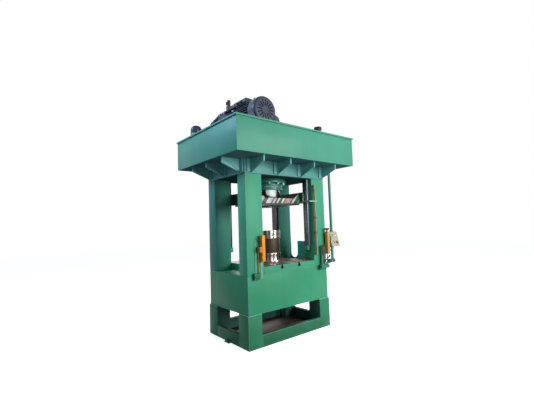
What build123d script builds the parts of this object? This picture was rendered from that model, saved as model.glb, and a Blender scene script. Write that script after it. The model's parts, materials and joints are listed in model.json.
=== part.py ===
"""Frame-type hydraulic press: open plinth, bed box, four columns, crown, and an oil tank on gussets.

Millimetres. +Z is up, the front faces -Y, and the origin is on the floor under the press's centre.
"""
from build123d import *

import os

os.makedirs("parts", exist_ok=True)

# Gaps and roundings that several pieces share
slide_fit = 0.3
shaft_clear = 0.05
small_round = 5.0

# Welded frame
plinth_w = 1500.0
plinth_d = 980.0
plinth_h = 414.0
plinth_rail_h = 150.0
plinth_rail_t = 60.0
leg_w = 214.0
leg_d = 220.0
leg_wall = 16.0
floor_plate_t = 6.0
body_inset = 12.0
sill_z = 901.0
bed_wall = 30.0
bed_top_t = 50.0
bed_rib_t = 25.0
column_w = 260.0
column_d = 180.0
column_wall = 22.0
column_h = 1307.0
crown_h = 193.0
crown_floor_t = 40.0
crown_wall = 30.0

# Bolster plate
bolster_t = 92.0
bolster_slit = 2.0
slot_x = 160.0
slot_neck_w = 28.0
slot_neck_h = 32.0
slot_head_w = 46.0
slot_head_h = 20.0

# Gussets under the tank
gusset_t = 20.0
gusset_reach = 284.0
gusset_root_h = 181.0
gusset_end_h = 74.0
front_gussets = 4
front_gusset_left = 96.0
front_gusset_right = 32.0
side_gussets = 3
side_gusset_front = 98.0
side_gusset_back = 58.0
pad_w = 58.0
pad_t = 18.0
pad_h = 172.0

# Oil tank
tank_overhang = 320.0
tank_h = 420.0
tank_wall = 8.0
tank_floor_t = 10.0
well_gap = 20.0
well_wall = 8.0
lid_t = 12.0
lid_rim = 16.0
lid_lip_t = 8.0
lid_lip_h = 10.0

# Main cylinder and ram
ram_side_gap = 50.0
piston_step = 5.0
piston_h = 120.0
piston_gap = 6.0
barrel_wall = 40.0
barrel_clear = 2.0
flange_reach = 43.0
flange_t = 58.0
flange_chamfer = 4.0
gland_step = 2.0
gland_h = 105.0
gland_chamfer = 8.0
gland_groove_rise = 44.0
gland_groove_h = 10.0
gland_groove_depth = 8.0
cap_gap = 19.0
cap_t = 46.0
cap_step = 5.0
cap_port_d = 60.0
bolt_count = 12
bolt_hex = 30.0
bolt_head_h = 18.0

# Slide
slide_drop = 367.0
slide_side_gap = 7.0
slide_plate_t = 30.0
slide_edge_h = 76.0
slide_edge_t = 20.0
shoulder_h = 169.0
rib_gap = 45.0
ram_seat_reach = 35.0
ram_seat_t = 46.0
ram_seat_chamfer = 5.0
platen_inset_x = 25.0
platen_inset_y = 20.0
platen_t = 20.0
platen_hole_d = 26.0
platen_hole_inset = 80.0
punch_d = 190.0
punch_h = 30.0
punch_chamfer = 4.0

# Guides
guide_rail_t = 46.0
guide_rail_w = 92.0
guide_rail_inset = 56.0
guide_rail_rise = 217.0
guide_foot_h = 68.0
guide_foot_w = 75.0
guide_foot_lip = 10.0
guide_foot_t = 52.0
shoe_bridge = 29.7
shoe_wrap = 30.0
shoe_reach = 40.0
shoe_wall_gap = 4.0

# Round tool that stands on the bolster
tool_base_d = 400.0
tool_base_h = 20.0
tool_ring_d = 360.0
tool_lower_d = 344.0
tool_body_d = 336.0
tool_lower_h = 82.0
tool_band_h = 28.0
tool_body_h = 212.0
tool_upper_h = 90.0
tool_groove_h = 12.0

# Side guard plate
guard_t = 12.0
guard_h = 349.0
guard_slot_w = 164.0
guard_slot_rise = 74.0
guard_lip = 4.0

# Light curtain bars
bar_w = 50.0
bar_d = 60.0
bar_h = 330.0
bar_rise = 80.0
bar_round = 7.0
bar_left_shift = 52.0
bar_right_shift = 16.0
bar_gap = 22.0
bracket_h = 26.0
bracket_t = 8.0
bracket_inset = 40.0
conduit_d = 12.0
plug_w = 40.0
plug_d = 56.0
plug_h = 70.0
plug_rise_left = 118.0
plug_rise_right = 190.0
bar_neck_d = 36.0
bar_neck_h = 30.0
bar_cap_h = 24.0
junction_w = 96.0
junction_d = 44.0
junction_h = 78.0
junction_drop = 51.0
junction_shift = 85.0
backing_w = 58.0
backing_t = 6.0
backing_shift = 20.0
backing_gap = 60.0
strip_w = 38.0
strip_t = 8.0
strip_shift = 10.0
lead_shift = 17.0

# Stroke rail with its rod and switches
rail_shift = 30.0
rail_face = 40.0
rail_web = 32.0
rail_t = 4.0
rail_rise = 168.0
rail_top_gap = 96.0
rod_shift = 12.0
rod_y_gap = 22.0
rod_d = 16.0
clip_h = 24.0
clip_inset = 10.0
switch_rise = (399.0, 627.0)
switch_w = 22.0
switch_d = 20.0
switch_h = 48.0
plunger_d = 14.0
plunger_len = 4.0
arm_rise = 12.0
arm_h = 22.0
arm_t = 12.0
arm_gap = 4.0
arm_shoe_gap = 3.7
arm_past = 2.0

# Pendant with its controls
box_gap = 10.5
pipe_shift_y = 3.0
pipe_d = 42.0
pipe_flange = 110.0
pipe_flange_t = 10.0
pipe_end = 930.0
clamp_w = 128.0
clamp_d = 56.0
clamp_h = 48.0
clamp_shift = 36.0
stay_t = 16.0
stay_h = 15.0
stay_root_h = 45.0
box_w = 185.0
box_top = 1395.0
box_h = 222.0
box_ahead = 25.0
box_behind = 75.0
box_lean = 60.0
button_d = 22.0
button_proud = 8.0
button_seat = 14.0
button_travel = 4.0
button_clear = 0.3
button_end_gap = 1.0
button_round = 2.0
bezel_d = 32.0
bezel_h = 4.0
control_x = 40.0
control_top = 60.0
control_low = 55.0
stop_d = 40.0
stop_h = 16.0
stop_rise = 6.0
stop_round = 6.0
knob_base_h = 5.0
knob_grip_h = 12.0
knob_grip_w = 9.0
knob_grip_len = 28.0

# Hand lubricator
shelf_w = 168.0
shelf_short = 20.0
shelf_t = 12.0
shelf_reach = 80.0
shelf_web_h = 60.0
shelf_web_t = 12.0
shelf_web_inset = 12.0
shelf_web_lip = 10.0
shelf_web_toe = 14.0
shelf_lip_h = 34.0
lube_inset = 74.0
lube_foot_w = 90.0
lube_foot_d = 64.0
lube_foot_h = 12.0
lube_body_w = 32.0
lube_body_h = 144.0
lube_leg_w = 10.0
reservoir_w = 62.0
reservoir_d = 52.0
reservoir_h = 126.0
reservoir_round = 8.0
lever_rise = 47.0
lever_reach = 145.0
lever_lift = 33.0
lever_w = 12.0
lever_eye_d = 28.0
lever_gap = 3.0
lever_knob_d = 26.0
pivot_d = 14.0
pivot_len = 20.0

# Motor on the tank lid
motor_x = -480.0
motor_rise = 210.0
motor_front = -500.0
motor_len = 610.0
motor_core_r = 148.0
fin_r = 174.0
fin_count = 28
fin_t = 7.0
shield_w = 34.0
cowl_r = 185.0
cowl_len = 120.0
cowl_lap = 20.0
cowl_wall = 4.0
cowl_round = 34.0
cowl_slots = 16
cowl_slot_r = 94.0
cowl_slot_len = 84.0
cowl_slot_w = 12.0
shaft_d = 48.0
shaft_front = 70.0
coupling_d = 96.0
coupling_len = 70.0
coupling_gap = 30.0
fan_r = 165.0
fan_gap = 14.0
fan_hub_d = 92.0
fan_w = 46.0
fan_blades = 9
fan_blade_t = 5.0
foot_w = 60.0
foot_l = 400.0
foot_t = 18.0
foot_web_h = 114.0
foot_ahead = 100.0
cradle_t = 16.0
cradle_gap = 4.0
cradle_reach = 256.0
cradle_step = 16.0
cradle_side_h = 111.0
cradle_knee_h = 147.0
cradle_top_h = 178.0
term_w = 190.0
term_l = 300.0
term_neck_w = 152.0
term_neck_l = 240.0
term_neck_h = 14.0
term_h = 55.0
term_inset = 190.0
term_round = 14.0

# Pump, valves and oil lines on the tank lid
bell_len = 130.0
bell_r = 125.0
bell_bore_r = 64.0
bell_flange_r = 155.0
bell_flange_t = 22.0
bell_taper = 8.0
pump_len = 190.0
pump_r = 84.0
pump_flange_r = 102.0
pump_flange_t = 22.0
pump_head = 134.0
pump_head_l = 36.0
block_l = 196.0
block_h = 48.0
block_gap = 2.0
block_lift = 4.0
block_side_gap = 7.0
stand_t = 16.0
valve_w = 62.0
valve_h = 95.0
valve_inset = 7.0
valve_side = 60.0
coil_d = 54.0
coil_h = 90.0
coil_round = 6.0
return_d = 56.0
return_side = 116.0
return_rise = 18.0
return_first = 50.0
return_run = 280.0
return_fall = 50.0
return_bend = 75.0
breather_left = 140.0
breather_back = 340.0
breather_r = 82.0
breather_h = 166.0
breather_neck_r = 49.0
breather_neck_h = 30.0
breather_round = 59.0
filler_right = 546.0
filler_front = 200.0
filler_r = 56.0
filler_cap_h = 45.0
filler_neck_r = 45.0
filler_neck_h = 94.0
filler_round = 8.0

# Places that follow from the sizes above
body_w = plinth_w - 2 * body_inset
body_d = plinth_d - 2 * body_inset
front_y = -body_d / 2
back_y = body_d / 2
right_x = body_w / 2
column_x = right_x - column_w / 2
column_y = back_y - column_d / 2
window_x = right_x - column_w
window_y = back_y - column_d
bolster_top = sill_z + bolster_t
crown_z = sill_z + column_h
tank_z = crown_z + crown_h
lid_z = tank_z + tank_h
lid_top = lid_z + lid_t
tank_w = plinth_w + 2 * tank_overhang
tank_d = plinth_d + 2 * tank_overhang
rail_face_x = window_x - guide_rail_t
rail_outer_y = back_y - guide_rail_inset
rail_inner_y = rail_outer_y - guide_rail_w
slide_w = 2 * (rail_face_x - slide_side_gap)
slide_d = 2 * (rail_inner_y - slide_fit - shoe_bridge)
ram_d = slide_d - 2 * (ram_seat_reach + slide_edge_t + ram_side_gap)
bore_d = ram_d + 2 * piston_step
barrel_d = bore_d + 2 * barrel_wall
well_bore = barrel_d + 2 * well_gap

# Base plinth: four box legs with a bottom rail between each two, open on every side
with BuildPart() as base_legs:
    with BuildSketch(Plane.XY):
        with GridLocations(plinth_w - leg_w, plinth_d - leg_d, 2, 2):
            Rectangle(leg_w, leg_d)
            Rectangle(leg_w - 2 * leg_wall, leg_d - 2 * leg_wall, mode=Mode.SUBTRACT)
    extrude(amount=plinth_h)
base_legs.part.label = "base_legs"
export_step(base_legs.part, "parts/base_legs.step")

with BuildPart() as base_rails:
    with BuildSketch(Plane.XY):
        with GridLocations(1, plinth_d - plinth_rail_t, 1, 2):
            Rectangle(plinth_w - 2 * leg_w, plinth_rail_t)
        with GridLocations(plinth_w - plinth_rail_t, 1, 2, 1):
            Rectangle(plinth_rail_t, plinth_d - 2 * leg_d)
    extrude(amount=plinth_rail_h)
base_rails.part.label = "base_rails"
export_step(base_rails.part, "parts/base_rails.step")

# Floor plate between the bottom rails, notched round the legs
with BuildPart() as floor_plate:
    with BuildSketch(Plane.XY):
        Rectangle(plinth_w - 2 * plinth_rail_t, plinth_d - 2 * leg_d)
        Rectangle(plinth_w - 2 * leg_w, plinth_d - 2 * plinth_rail_t)
    extrude(amount=floor_plate_t)
floor_plate.part.label = "floor_plate"
export_step(floor_plate.part, "parts/floor_plate.step")

# Bed box: welded walls with cross ribs, open towards the plinth
pocket_w = (body_w - 2 * bed_wall - 2 * bed_rib_t) / 3
pocket_d = (body_d - 2 * bed_wall - bed_rib_t) / 2
with BuildPart() as bed_box:
    with BuildSketch(Plane.XY.offset(plinth_h)):
        Rectangle(body_w, body_d)
    extrude(amount=sill_z - plinth_h)
    with BuildSketch(Plane.XY.offset(plinth_h)):
        with GridLocations(pocket_w + bed_rib_t, pocket_d + bed_rib_t, 3, 2):
            Rectangle(pocket_w, pocket_d)
    extrude(amount=sill_z - plinth_h - bed_top_t, mode=Mode.SUBTRACT)
bed_box.part.label = "bed_box"
export_step(bed_box.part, "parts/bed_box.step")

# Bolster plate between the columns, with two T-slots from front to back
with BuildPart() as bolster:
    with BuildSketch(Plane.XZ.offset(-back_y)):
        with Locations((0, sill_z + bolster_t / 2)):
            Rectangle(2 * (window_x - bolster_slit), bolster_t)
        with Locations((-slot_x, bolster_top - slot_neck_h / 2), (slot_x, bolster_top - slot_neck_h / 2)):
            Rectangle(slot_neck_w, slot_neck_h, mode=Mode.SUBTRACT)
        with Locations((-slot_x, bolster_top - slot_neck_h), (slot_x, bolster_top - slot_neck_h)):
            Rectangle(slot_head_w, slot_head_h, align=(Align.CENTER, Align.MAX), mode=Mode.SUBTRACT)
    extrude(amount=body_d)
bolster.part.label = "bolster"
export_step(bolster.part, "parts/bolster.step")

# Columns: box section, wide across the front
column_spots = {
    "column_front_left": (-column_x, -column_y),
    "column_front_right": (column_x, -column_y),
    "column_back_left": (-column_x, column_y),
    "column_back_right": (column_x, column_y),
}
for name, spot in column_spots.items():
    with BuildPart() as column:
        with BuildSketch(Plane.XY.offset(sill_z)):
            with Locations(spot):
                Rectangle(column_w, column_d)
                Rectangle(column_w - 2 * column_wall, column_d - 2 * column_wall, mode=Mode.SUBTRACT)
        extrude(amount=crown_z - sill_z)
    column.part.label = name
    export_step(column.part, f"parts/{name}.step")

# Crown: box with a bored floor and a tube around the cylinder, closed above by the tank's floor
crown_bore_d = barrel_d + 2 * barrel_clear
with BuildPart() as crown:
    with BuildSketch(Plane.XY.offset(crown_z)):
        Rectangle(body_w, body_d)
    extrude(amount=crown_h)
    with BuildSketch(Plane.XY.offset(crown_z + crown_floor_t)):
        Rectangle(body_w - 2 * crown_wall, body_d - 2 * crown_wall)
        Circle(crown_bore_d / 2 + crown_wall, mode=Mode.SUBTRACT)
    extrude(amount=crown_h - crown_floor_t, mode=Mode.SUBTRACT)
    with BuildSketch(Plane.XY.offset(crown_z)):
        Circle(crown_bore_d / 2)
    extrude(amount=crown_h, mode=Mode.SUBTRACT)
crown.part.label = "crown"
export_step(crown.part, "parts/crown.step")

# Gussets: a fin with a sloping lower edge, its root on the frame and its top under the tank
gusset_outline = (
    (0, 0),
    (gusset_reach, 0),
    (gusset_reach, -gusset_end_h),
    (0, -gusset_root_h),
)
front_first = -right_x + front_gusset_left
front_pitch = (body_w - front_gusset_left - front_gusset_right) / (front_gussets - 1)
front_spots = [front_first + front_pitch * i for i in range(front_gussets)]
side_first = front_y + side_gusset_front
side_pitch = (body_d - side_gusset_front - side_gusset_back) / (side_gussets - 1)
side_spots = [side_first + side_pitch * i for i in range(side_gussets)]


def gusset_row(outward, root, spots, pad_side):
    """Fins at each spot on the face that looks outward, each with an upright pad beside its root."""
    across = outward.cross(Vector(0, 0, 1))
    along = Vector(abs(across.X), abs(across.Y), 0)
    with BuildPart() as row:
        for spot in spots:
            origin = outward * root + along * spot + Vector(0, 0, tank_z)
            with BuildSketch(Plane(origin=origin, x_dir=outward, z_dir=across)):
                Polygon(*gusset_outline, align=None)
            extrude(amount=gusset_t / 2, both=True)
            with BuildSketch(Plane(origin=origin, x_dir=-across, z_dir=outward)):
                with Locations((pad_side * (gusset_t + pad_w) / 2, -pad_h / 2)):
                    Rectangle(pad_w, pad_h)
            extrude(amount=pad_t)
    return row


gussets_front = gusset_row(Vector(0, -1, 0), back_y, front_spots, -1)
gussets_front.part.label = "gussets_front"
export_step(gussets_front.part, "parts/gussets_front.step")

gussets_back = gusset_row(Vector(0, 1, 0), back_y, front_spots, 1)
gussets_back.part.label = "gussets_back"
export_step(gussets_back.part, "parts/gussets_back.step")

gussets_left = gusset_row(Vector(-1, 0, 0), right_x, side_spots, 1)
gussets_left.part.label = "gussets_left"
export_step(gussets_left.part, "parts/gussets_left.step")

gussets_right = gusset_row(Vector(1, 0, 0), right_x, side_spots, -1)
gussets_right.part.label = "gussets_right"
export_step(gussets_right.part, "parts/gussets_right.step")

# Oil tank: welded sheet box with a well through it for the top of the main cylinder
with BuildPart() as oil_tank:
    with BuildSketch(Plane.XY.offset(tank_z)):
        Rectangle(tank_w, tank_d)
        Circle(well_bore / 2, mode=Mode.SUBTRACT)
    extrude(amount=tank_floor_t)
    with BuildSketch(Plane.XY.offset(tank_z)):
        Rectangle(tank_w, tank_d)
        Rectangle(tank_w - 2 * tank_wall, tank_d - 2 * tank_wall, mode=Mode.SUBTRACT)
        Circle(well_bore / 2 + well_wall)
        Circle(well_bore / 2, mode=Mode.SUBTRACT)
    extrude(amount=tank_h)
oil_tank.part.label = "oil_tank"
export_step(oil_tank.part, "parts/oil_tank.step")

# Tank lid: flat sheet whose rim stands out past the walls and turns down
lid_w = tank_w + 2 * lid_rim
lid_d = tank_d + 2 * lid_rim
with BuildPart() as tank_lid:
    with BuildSketch(Plane.XY.offset(lid_z)):
        Rectangle(lid_w, lid_d)
    extrude(amount=lid_t)
    with BuildSketch(Plane.XY.offset(lid_z)):
        Rectangle(lid_w, lid_d)
        Rectangle(lid_w - 2 * lid_lip_t, lid_d - 2 * lid_lip_t, mode=Mode.SUBTRACT)
    extrude(amount=-lid_lip_h)
tank_lid.part.label = "tank_lid"
export_step(tank_lid.part, "parts/tank_lid.step")

# Main cylinder barrel, turned, with the flange that bolts up against the crown
gland_top = crown_z - flange_t
gland_z = gland_top - gland_h
barrel_top = lid_z - cap_gap - cap_t
flange_d = barrel_d + 2 * flange_reach
with BuildPart() as cylinder_barrel:
    with BuildSketch(Plane.XZ):
        with BuildLine():
            Polyline(
                (bore_d / 2, gland_top),
                (flange_d / 2, gland_top),
                (flange_d / 2, crown_z),
                (barrel_d / 2, crown_z),
                (barrel_d / 2, barrel_top),
                (bore_d / 2, barrel_top),
                close=True,
            )
        make_face()
    revolve(axis=Axis.Z)
    low_rings = cylinder_barrel.edges().filter_by(GeomType.CIRCLE).group_by(Axis.Z)[0]
    chamfer(low_rings.sort_by(SortBy.RADIUS)[-1], flange_chamfer)
cylinder_barrel.part.label = "cylinder_barrel"
export_step(cylinder_barrel.part, "parts/cylinder_barrel.step")

# Gland: closes the barrel's lower end and guides the ram
gland_d = barrel_d - 2 * gland_step
with BuildPart() as cylinder_gland:
    with BuildSketch(Plane.XY.offset(gland_z)):
        Circle(gland_d / 2)
        Circle(ram_d / 2 + slide_fit, mode=Mode.SUBTRACT)
    extrude(amount=gland_h)
    low_rings = cylinder_gland.edges().filter_by(GeomType.CIRCLE).group_by(Axis.Z)[0]
    chamfer(low_rings.sort_by(SortBy.RADIUS)[-1], gland_chamfer)
    with BuildSketch(Plane.XY.offset(gland_z + gland_groove_rise)):
        Circle(gland_d / 2)
        Circle(gland_d / 2 - gland_groove_depth, mode=Mode.SUBTRACT)
    extrude(amount=gland_groove_h, mode=Mode.SUBTRACT)
cylinder_gland.part.label = "cylinder_gland"
export_step(cylinder_gland.part, "parts/cylinder_gland.step")

# Cap on the barrel's top with its oil port
with BuildPart() as cylinder_cap:
    with BuildSketch(Plane.XY.offset(barrel_top)):
        Circle(barrel_d / 2 - cap_step)
    extrude(amount=cap_t)
    with Locations((0, 0, barrel_top + cap_t)):
        Hole(radius=cap_port_d / 2)
cylinder_cap.part.label = "cylinder_cap"
export_step(cylinder_cap.part, "parts/cylinder_cap.step")

# Hexagon bolts around the flange
with BuildPart() as cylinder_bolts:
    with BuildSketch(Plane.XY.offset(gland_top)):
        with PolarLocations((flange_d + gland_d) / 4, bolt_count):
            RegularPolygon(bolt_hex / 2, 6)
    extrude(amount=-bolt_head_h)
cylinder_bolts.part.label = "cylinder_bolts"
export_step(cylinder_bolts.part, "parts/cylinder_bolts.step")

# Ram: ground rod with its piston at the top
slide_bottom = crown_z - slide_drop
ram_foot = slide_bottom + slide_plate_t + ram_seat_t
piston_top = barrel_top - piston_gap
with BuildPart() as ram:
    with BuildSketch(Plane.XY.offset(ram_foot)):
        Circle(ram_d / 2)
    extrude(amount=piston_top - ram_foot)
    with BuildSketch(Plane.XY.offset(piston_top - piston_h)):
        Circle(bore_d / 2 - slide_fit)
    extrude(amount=piston_h)
ram.part.label = "ram"
export_step(ram.part, "parts/ram.step")

# Ram flange bolted to the slide
with BuildPart() as ram_flange:
    with BuildSketch(Plane.XY.offset(slide_bottom + slide_plate_t)):
        Circle(ram_d / 2 + ram_seat_reach)
    extrude(amount=ram_seat_t)
    chamfer(ram_flange.edges().filter_by(GeomType.CIRCLE).group_by(Axis.Z)[-1], ram_seat_chamfer)
ram_flange.part.label = "ram_flange"
export_step(ram_flange.part, "parts/ram_flange.step")

# Slide weldment: floor plate, upright edges, ribs and rising shoulders that carry the guide shoes
shoulder_top = slide_bottom + shoulder_h
rib_x = ram_d / 2 + ram_seat_reach + rib_gap
platen_w = slide_w - 2 * platen_inset_x
platen_d = slide_d - 2 * platen_inset_y
platen_hole_x = platen_w - 2 * platen_hole_inset
platen_hole_y = platen_d - 2 * platen_hole_inset
with BuildPart() as slide_frame:
    with BuildSketch(Plane.XY.offset(slide_bottom)):
        Rectangle(slide_w, slide_d)
        with GridLocations(platen_hole_x, platen_hole_y, 2, 2):
            Circle(platen_hole_d / 2, mode=Mode.SUBTRACT)
    extrude(amount=slide_plate_t)
    for edge_y in (-slide_d / 2 + slide_edge_t, slide_d / 2):
        with BuildSketch(Plane.XZ.offset(-edge_y)):
            with BuildLine():
                Polyline(
                    (-slide_w / 2, slide_bottom),
                    (-slide_w / 2, shoulder_top),
                    (-slide_w / 2 + slide_edge_t, shoulder_top),
                    (-rib_x, slide_bottom + slide_edge_h),
                    (rib_x, slide_bottom + slide_edge_h),
                    (slide_w / 2 - slide_edge_t, shoulder_top),
                    (slide_w / 2, shoulder_top),
                    (slide_w / 2, slide_bottom),
                    close=True,
                )
            make_face()
        extrude(amount=slide_edge_t)
    with BuildSketch(Plane.XY.offset(slide_bottom)):
        with GridLocations(slide_w - slide_edge_t, 1, 2, 1):
            Rectangle(slide_edge_t, slide_d)
    extrude(amount=shoulder_h)
    with BuildSketch(Plane.XY.offset(slide_bottom)):
        with GridLocations(2 * rib_x, 1, 2, 1):
            Rectangle(slide_edge_t, slide_d)
    extrude(amount=slide_edge_h)
slide_frame.part.label = "slide_frame"
export_step(slide_frame.part, "parts/slide_frame.step")

# Guide shoes at the four corners, each wrapping the inner edge of its rail
shoe_face_x = rail_face_x - slide_fit
shoe_inner_x = shoe_face_x - shoe_reach
shoe_outer_x = window_x - shoe_wall_gap
with BuildPart() as guide_shoes:
    for side in (-1, 1):
        for end in (-1, 1):
            with BuildSketch(Plane.XY.offset(slide_bottom)):
                with BuildLine():
                    Polyline(
                        (side * shoe_inner_x, end * slide_d / 2),
                        (side * shoe_outer_x, end * slide_d / 2),
                        (side * shoe_outer_x, end * (rail_inner_y - slide_fit)),
                        (side * shoe_face_x, end * (rail_inner_y - slide_fit)),
                        (side * shoe_face_x, end * (rail_inner_y + shoe_wrap)),
                        (side * shoe_inner_x, end * (rail_inner_y + shoe_wrap)),
                        close=True,
                    )
                make_face()
            extrude(amount=shoulder_h)
guide_shoes.part.label = "guide_shoes"
export_step(guide_shoes.part, "parts/guide_shoes.step")

# Platen under the slide, with its four bolt holes, and the round punch on it
with BuildPart() as upper_platen:
    with BuildSketch(Plane.XY.offset(slide_bottom)):
        Rectangle(platen_w, platen_d)
        with GridLocations(platen_hole_x, platen_hole_y, 2, 2):
            Circle(platen_hole_d / 2, mode=Mode.SUBTRACT)
    extrude(amount=-platen_t)
upper_platen.part.label = "upper_platen"
export_step(upper_platen.part, "parts/upper_platen.step")

with BuildPart() as upper_punch:
    with BuildSketch(Plane.XY.offset(slide_bottom - platen_t)):
        Circle(punch_d / 2)
    extrude(amount=-punch_h)
    chamfer(upper_punch.edges().filter_by(GeomType.CIRCLE).group_by(Axis.Z)[0], punch_chamfer)
upper_punch.part.label = "upper_punch"
export_step(upper_punch.part, "parts/upper_punch.step")

# Guide rails on the inner sides of the columns, each on its foot block
guide_rail_z = bolster_top + guide_rail_rise
rail_mid_y = rail_outer_y - guide_rail_w / 2
foot_mid_y = rail_inner_y - guide_foot_lip + guide_foot_w / 2
with BuildPart() as guide_rails:
    with BuildSketch(Plane.XY.offset(guide_rail_z)):
        with GridLocations(2 * window_x - guide_rail_t, 2 * rail_mid_y, 2, 2):
            Rectangle(guide_rail_t, guide_rail_w)
    extrude(amount=crown_z - guide_rail_z)
guide_rails.part.label = "guide_rails"
export_step(guide_rails.part, "parts/guide_rails.step")

with BuildPart() as rail_feet:
    with BuildSketch(Plane.XY.offset(guide_rail_z - guide_foot_h)):
        with GridLocations(2 * window_x - guide_foot_t, 2 * foot_mid_y, 2, 2):
            Rectangle(guide_foot_t, guide_foot_w)
    extrude(amount=guide_foot_h)
rail_feet.part.label = "rail_feet"
export_step(rail_feet.part, "parts/rail_feet.step")

# Lower ring of the round tool: turned with the wide base that stands on the bolster
tool_ring_z = bolster_top + tool_base_h
tool_body_z = tool_ring_z + tool_lower_h + tool_band_h
tool_upper_z = tool_body_z + tool_body_h
with BuildPart() as tool_lower_ring:
    with BuildSketch(Plane.XY.offset(bolster_top)):
        Circle(tool_base_d / 2)
    extrude(amount=tool_base_h)
    with BuildSketch(Plane.XY.offset(tool_ring_z)):
        Circle(tool_lower_d / 2)
    extrude(amount=tool_lower_h)
    with BuildSketch(Plane.XY.offset(tool_ring_z + tool_lower_h)):
        Circle(tool_ring_d / 2)
    extrude(amount=tool_band_h)
tool_lower_ring.part.label = "tool_lower_ring"
export_step(tool_lower_ring.part, "parts/tool_lower_ring.step")

with BuildPart() as tool_body:
    with BuildSketch(Plane.XY.offset(tool_body_z)):
        Circle(tool_body_d / 2)
    extrude(amount=tool_body_h)
tool_body.part.label = "tool_body"
export_step(tool_body.part, "parts/tool_body.step")

# Upper ring of the tool: a thin band, a groove and the thick ring that takes the punch's load
with BuildPart() as tool_upper_ring:
    with BuildSketch(Plane.XY.offset(tool_upper_z)):
        Circle(tool_ring_d / 2)
    extrude(amount=tool_band_h)
    with BuildSketch(Plane.XY.offset(tool_upper_z + tool_band_h)):
        Circle(tool_body_d / 2)
    extrude(amount=tool_groove_h)
    with BuildSketch(Plane.XY.offset(tool_upper_z + tool_band_h + tool_groove_h)):
        Circle(tool_ring_d / 2)
    extrude(amount=tool_upper_h - tool_groove_h)
tool_upper_ring.part.label = "tool_upper_ring"
export_step(tool_upper_ring.part, "parts/tool_upper_ring.step")

# Guard plate between the right-hand columns, with its U slot
guard_top = sill_z + guard_h
guard_slot_y = window_y - guard_lip - guard_slot_w / 2
guard_slot_mid = sill_z + guard_slot_rise + guard_slot_w / 2
with BuildPart() as side_guard:
    with BuildSketch(Plane.YZ.offset(right_x - guard_t)):
        with Locations((0, sill_z + guard_h / 2)):
            Rectangle(2 * window_y, guard_h)
        with Locations((guard_slot_y, guard_slot_mid)):
            Circle(guard_slot_w / 2, mode=Mode.SUBTRACT)
            Rectangle(
                guard_slot_w,
                guard_top - guard_slot_mid,
                align=(Align.CENTER, Align.MIN),
                mode=Mode.SUBTRACT,
            )
    extrude(amount=guard_t)
side_guard.part.label = "side_guard"
export_step(side_guard.part, "parts/side_guard.step")

# Light curtain bars on the front columns, each with its plug, the right one with a capped neck
bar_bottom = bolster_top + bar_rise
bar_top = bar_bottom + bar_h
bar_y = front_y - bar_gap - bar_d / 2
bar_left_x = -window_x - bar_left_shift
bar_right_x = right_x - bar_right_shift
with BuildPart() as light_curtains:
    with BuildSketch(Plane.XY.offset(bar_bottom)):
        with Locations((bar_left_x, bar_y), (bar_right_x, bar_y)):
            RectangleRounded(bar_w, bar_d, bar_round)
    extrude(amount=bar_h)
    for bar_x, outward, rise in ((bar_left_x, -1, plug_rise_left), (bar_right_x, 1, plug_rise_right)):
        with BuildSketch(Plane.XY.offset(bar_bottom + rise)):
            with Locations((bar_x + outward * (bar_w + plug_w) / 2, bar_y)):
                RectangleRounded(plug_w, plug_d, bar_round)
            with Locations((bar_x + outward * bar_w / 2, bar_y)):
                Rectangle(2 * bar_round, plug_d - 2 * bar_round)
        extrude(amount=plug_h)
    with BuildSketch(Plane.XY.offset(bar_top)):
        with Locations((bar_right_x, bar_y)):
            Circle(bar_neck_d / 2)
    extrude(amount=bar_neck_h)
    with BuildSketch(Plane.XY.offset(bar_top + bar_neck_h)):
        with Locations((bar_right_x, bar_y)):
            RectangleRounded(bar_w, bar_d, bar_round)
    extrude(amount=bar_cap_h)
light_curtains.part.label = "light_curtains"
export_step(light_curtains.part, "parts/light_curtains.step")

with BuildPart() as curtain_brackets:
    for bar_x, outward in ((bar_left_x, -1), (bar_right_x, 1)):
        for level in (bar_bottom + bracket_inset, bar_top - bracket_inset - bracket_h):
            with BuildSketch(Plane.XY.offset(level)):
                with Locations((bar_x, front_y)):
                    Rectangle(bar_w, bar_gap, align=(Align.CENTER, Align.MAX))
                with Locations((bar_x + outward * (bar_w + bracket_t) / 2, front_y)):
                    Rectangle(bracket_t, bar_gap + bar_d, align=(Align.CENTER, Align.MAX))
            extrude(amount=bracket_h)
curtain_brackets.part.label = "curtain_brackets"
export_step(curtain_brackets.part, "parts/curtain_brackets.step")

# Leads of the bars: junction block on the bed with its conduit and backing plate, a strip beside
# them, and the right bar's straight lead down to the shelf
shelf_z = sill_z
shelf_top = shelf_z + shelf_t
junction_z = sill_z - junction_drop
junction_top = junction_z + junction_h
junction_y = front_y - junction_d / 2
conduit_x = bar_left_x - (bar_w + plug_w) / 2
with BuildPart() as curtain_conduit:
    with BuildSketch(Plane.XY.offset(junction_z)):
        with Locations((bar_left_x - junction_shift, junction_y)):
            RectangleRounded(junction_w, junction_d, small_round)
    extrude(amount=junction_h)
    with BuildSketch(Plane.XY.offset(junction_top)):
        with Locations((conduit_x, junction_y)):
            Circle(conduit_d / 2)
    extrude(amount=bar_bottom + plug_rise_left - junction_top)
    with BuildSketch(Plane.XY.offset(junction_top)):
        with Locations((conduit_x - backing_shift, front_y)):
            Rectangle(backing_w, backing_t, align=(Align.CENTER, Align.MAX))
    extrude(amount=bar_top - backing_gap - junction_top)
    with BuildSketch(Plane.XY.offset(junction_z)):
        with Locations((bar_left_x + strip_shift, front_y)):
            Rectangle(strip_w, strip_t, align=(Align.CENTER, Align.MAX))
    extrude(amount=bar_bottom - junction_z)
    with BuildSketch(Plane.XY.offset(shelf_top)):
        with Locations((bar_right_x - lead_shift, bar_y)):
            Circle(conduit_d / 2)
    extrude(amount=bar_bottom - shelf_top)
curtain_conduit.part.label = "curtain_conduit"
export_step(curtain_conduit.part, "parts/curtain_conduit.step")

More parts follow.
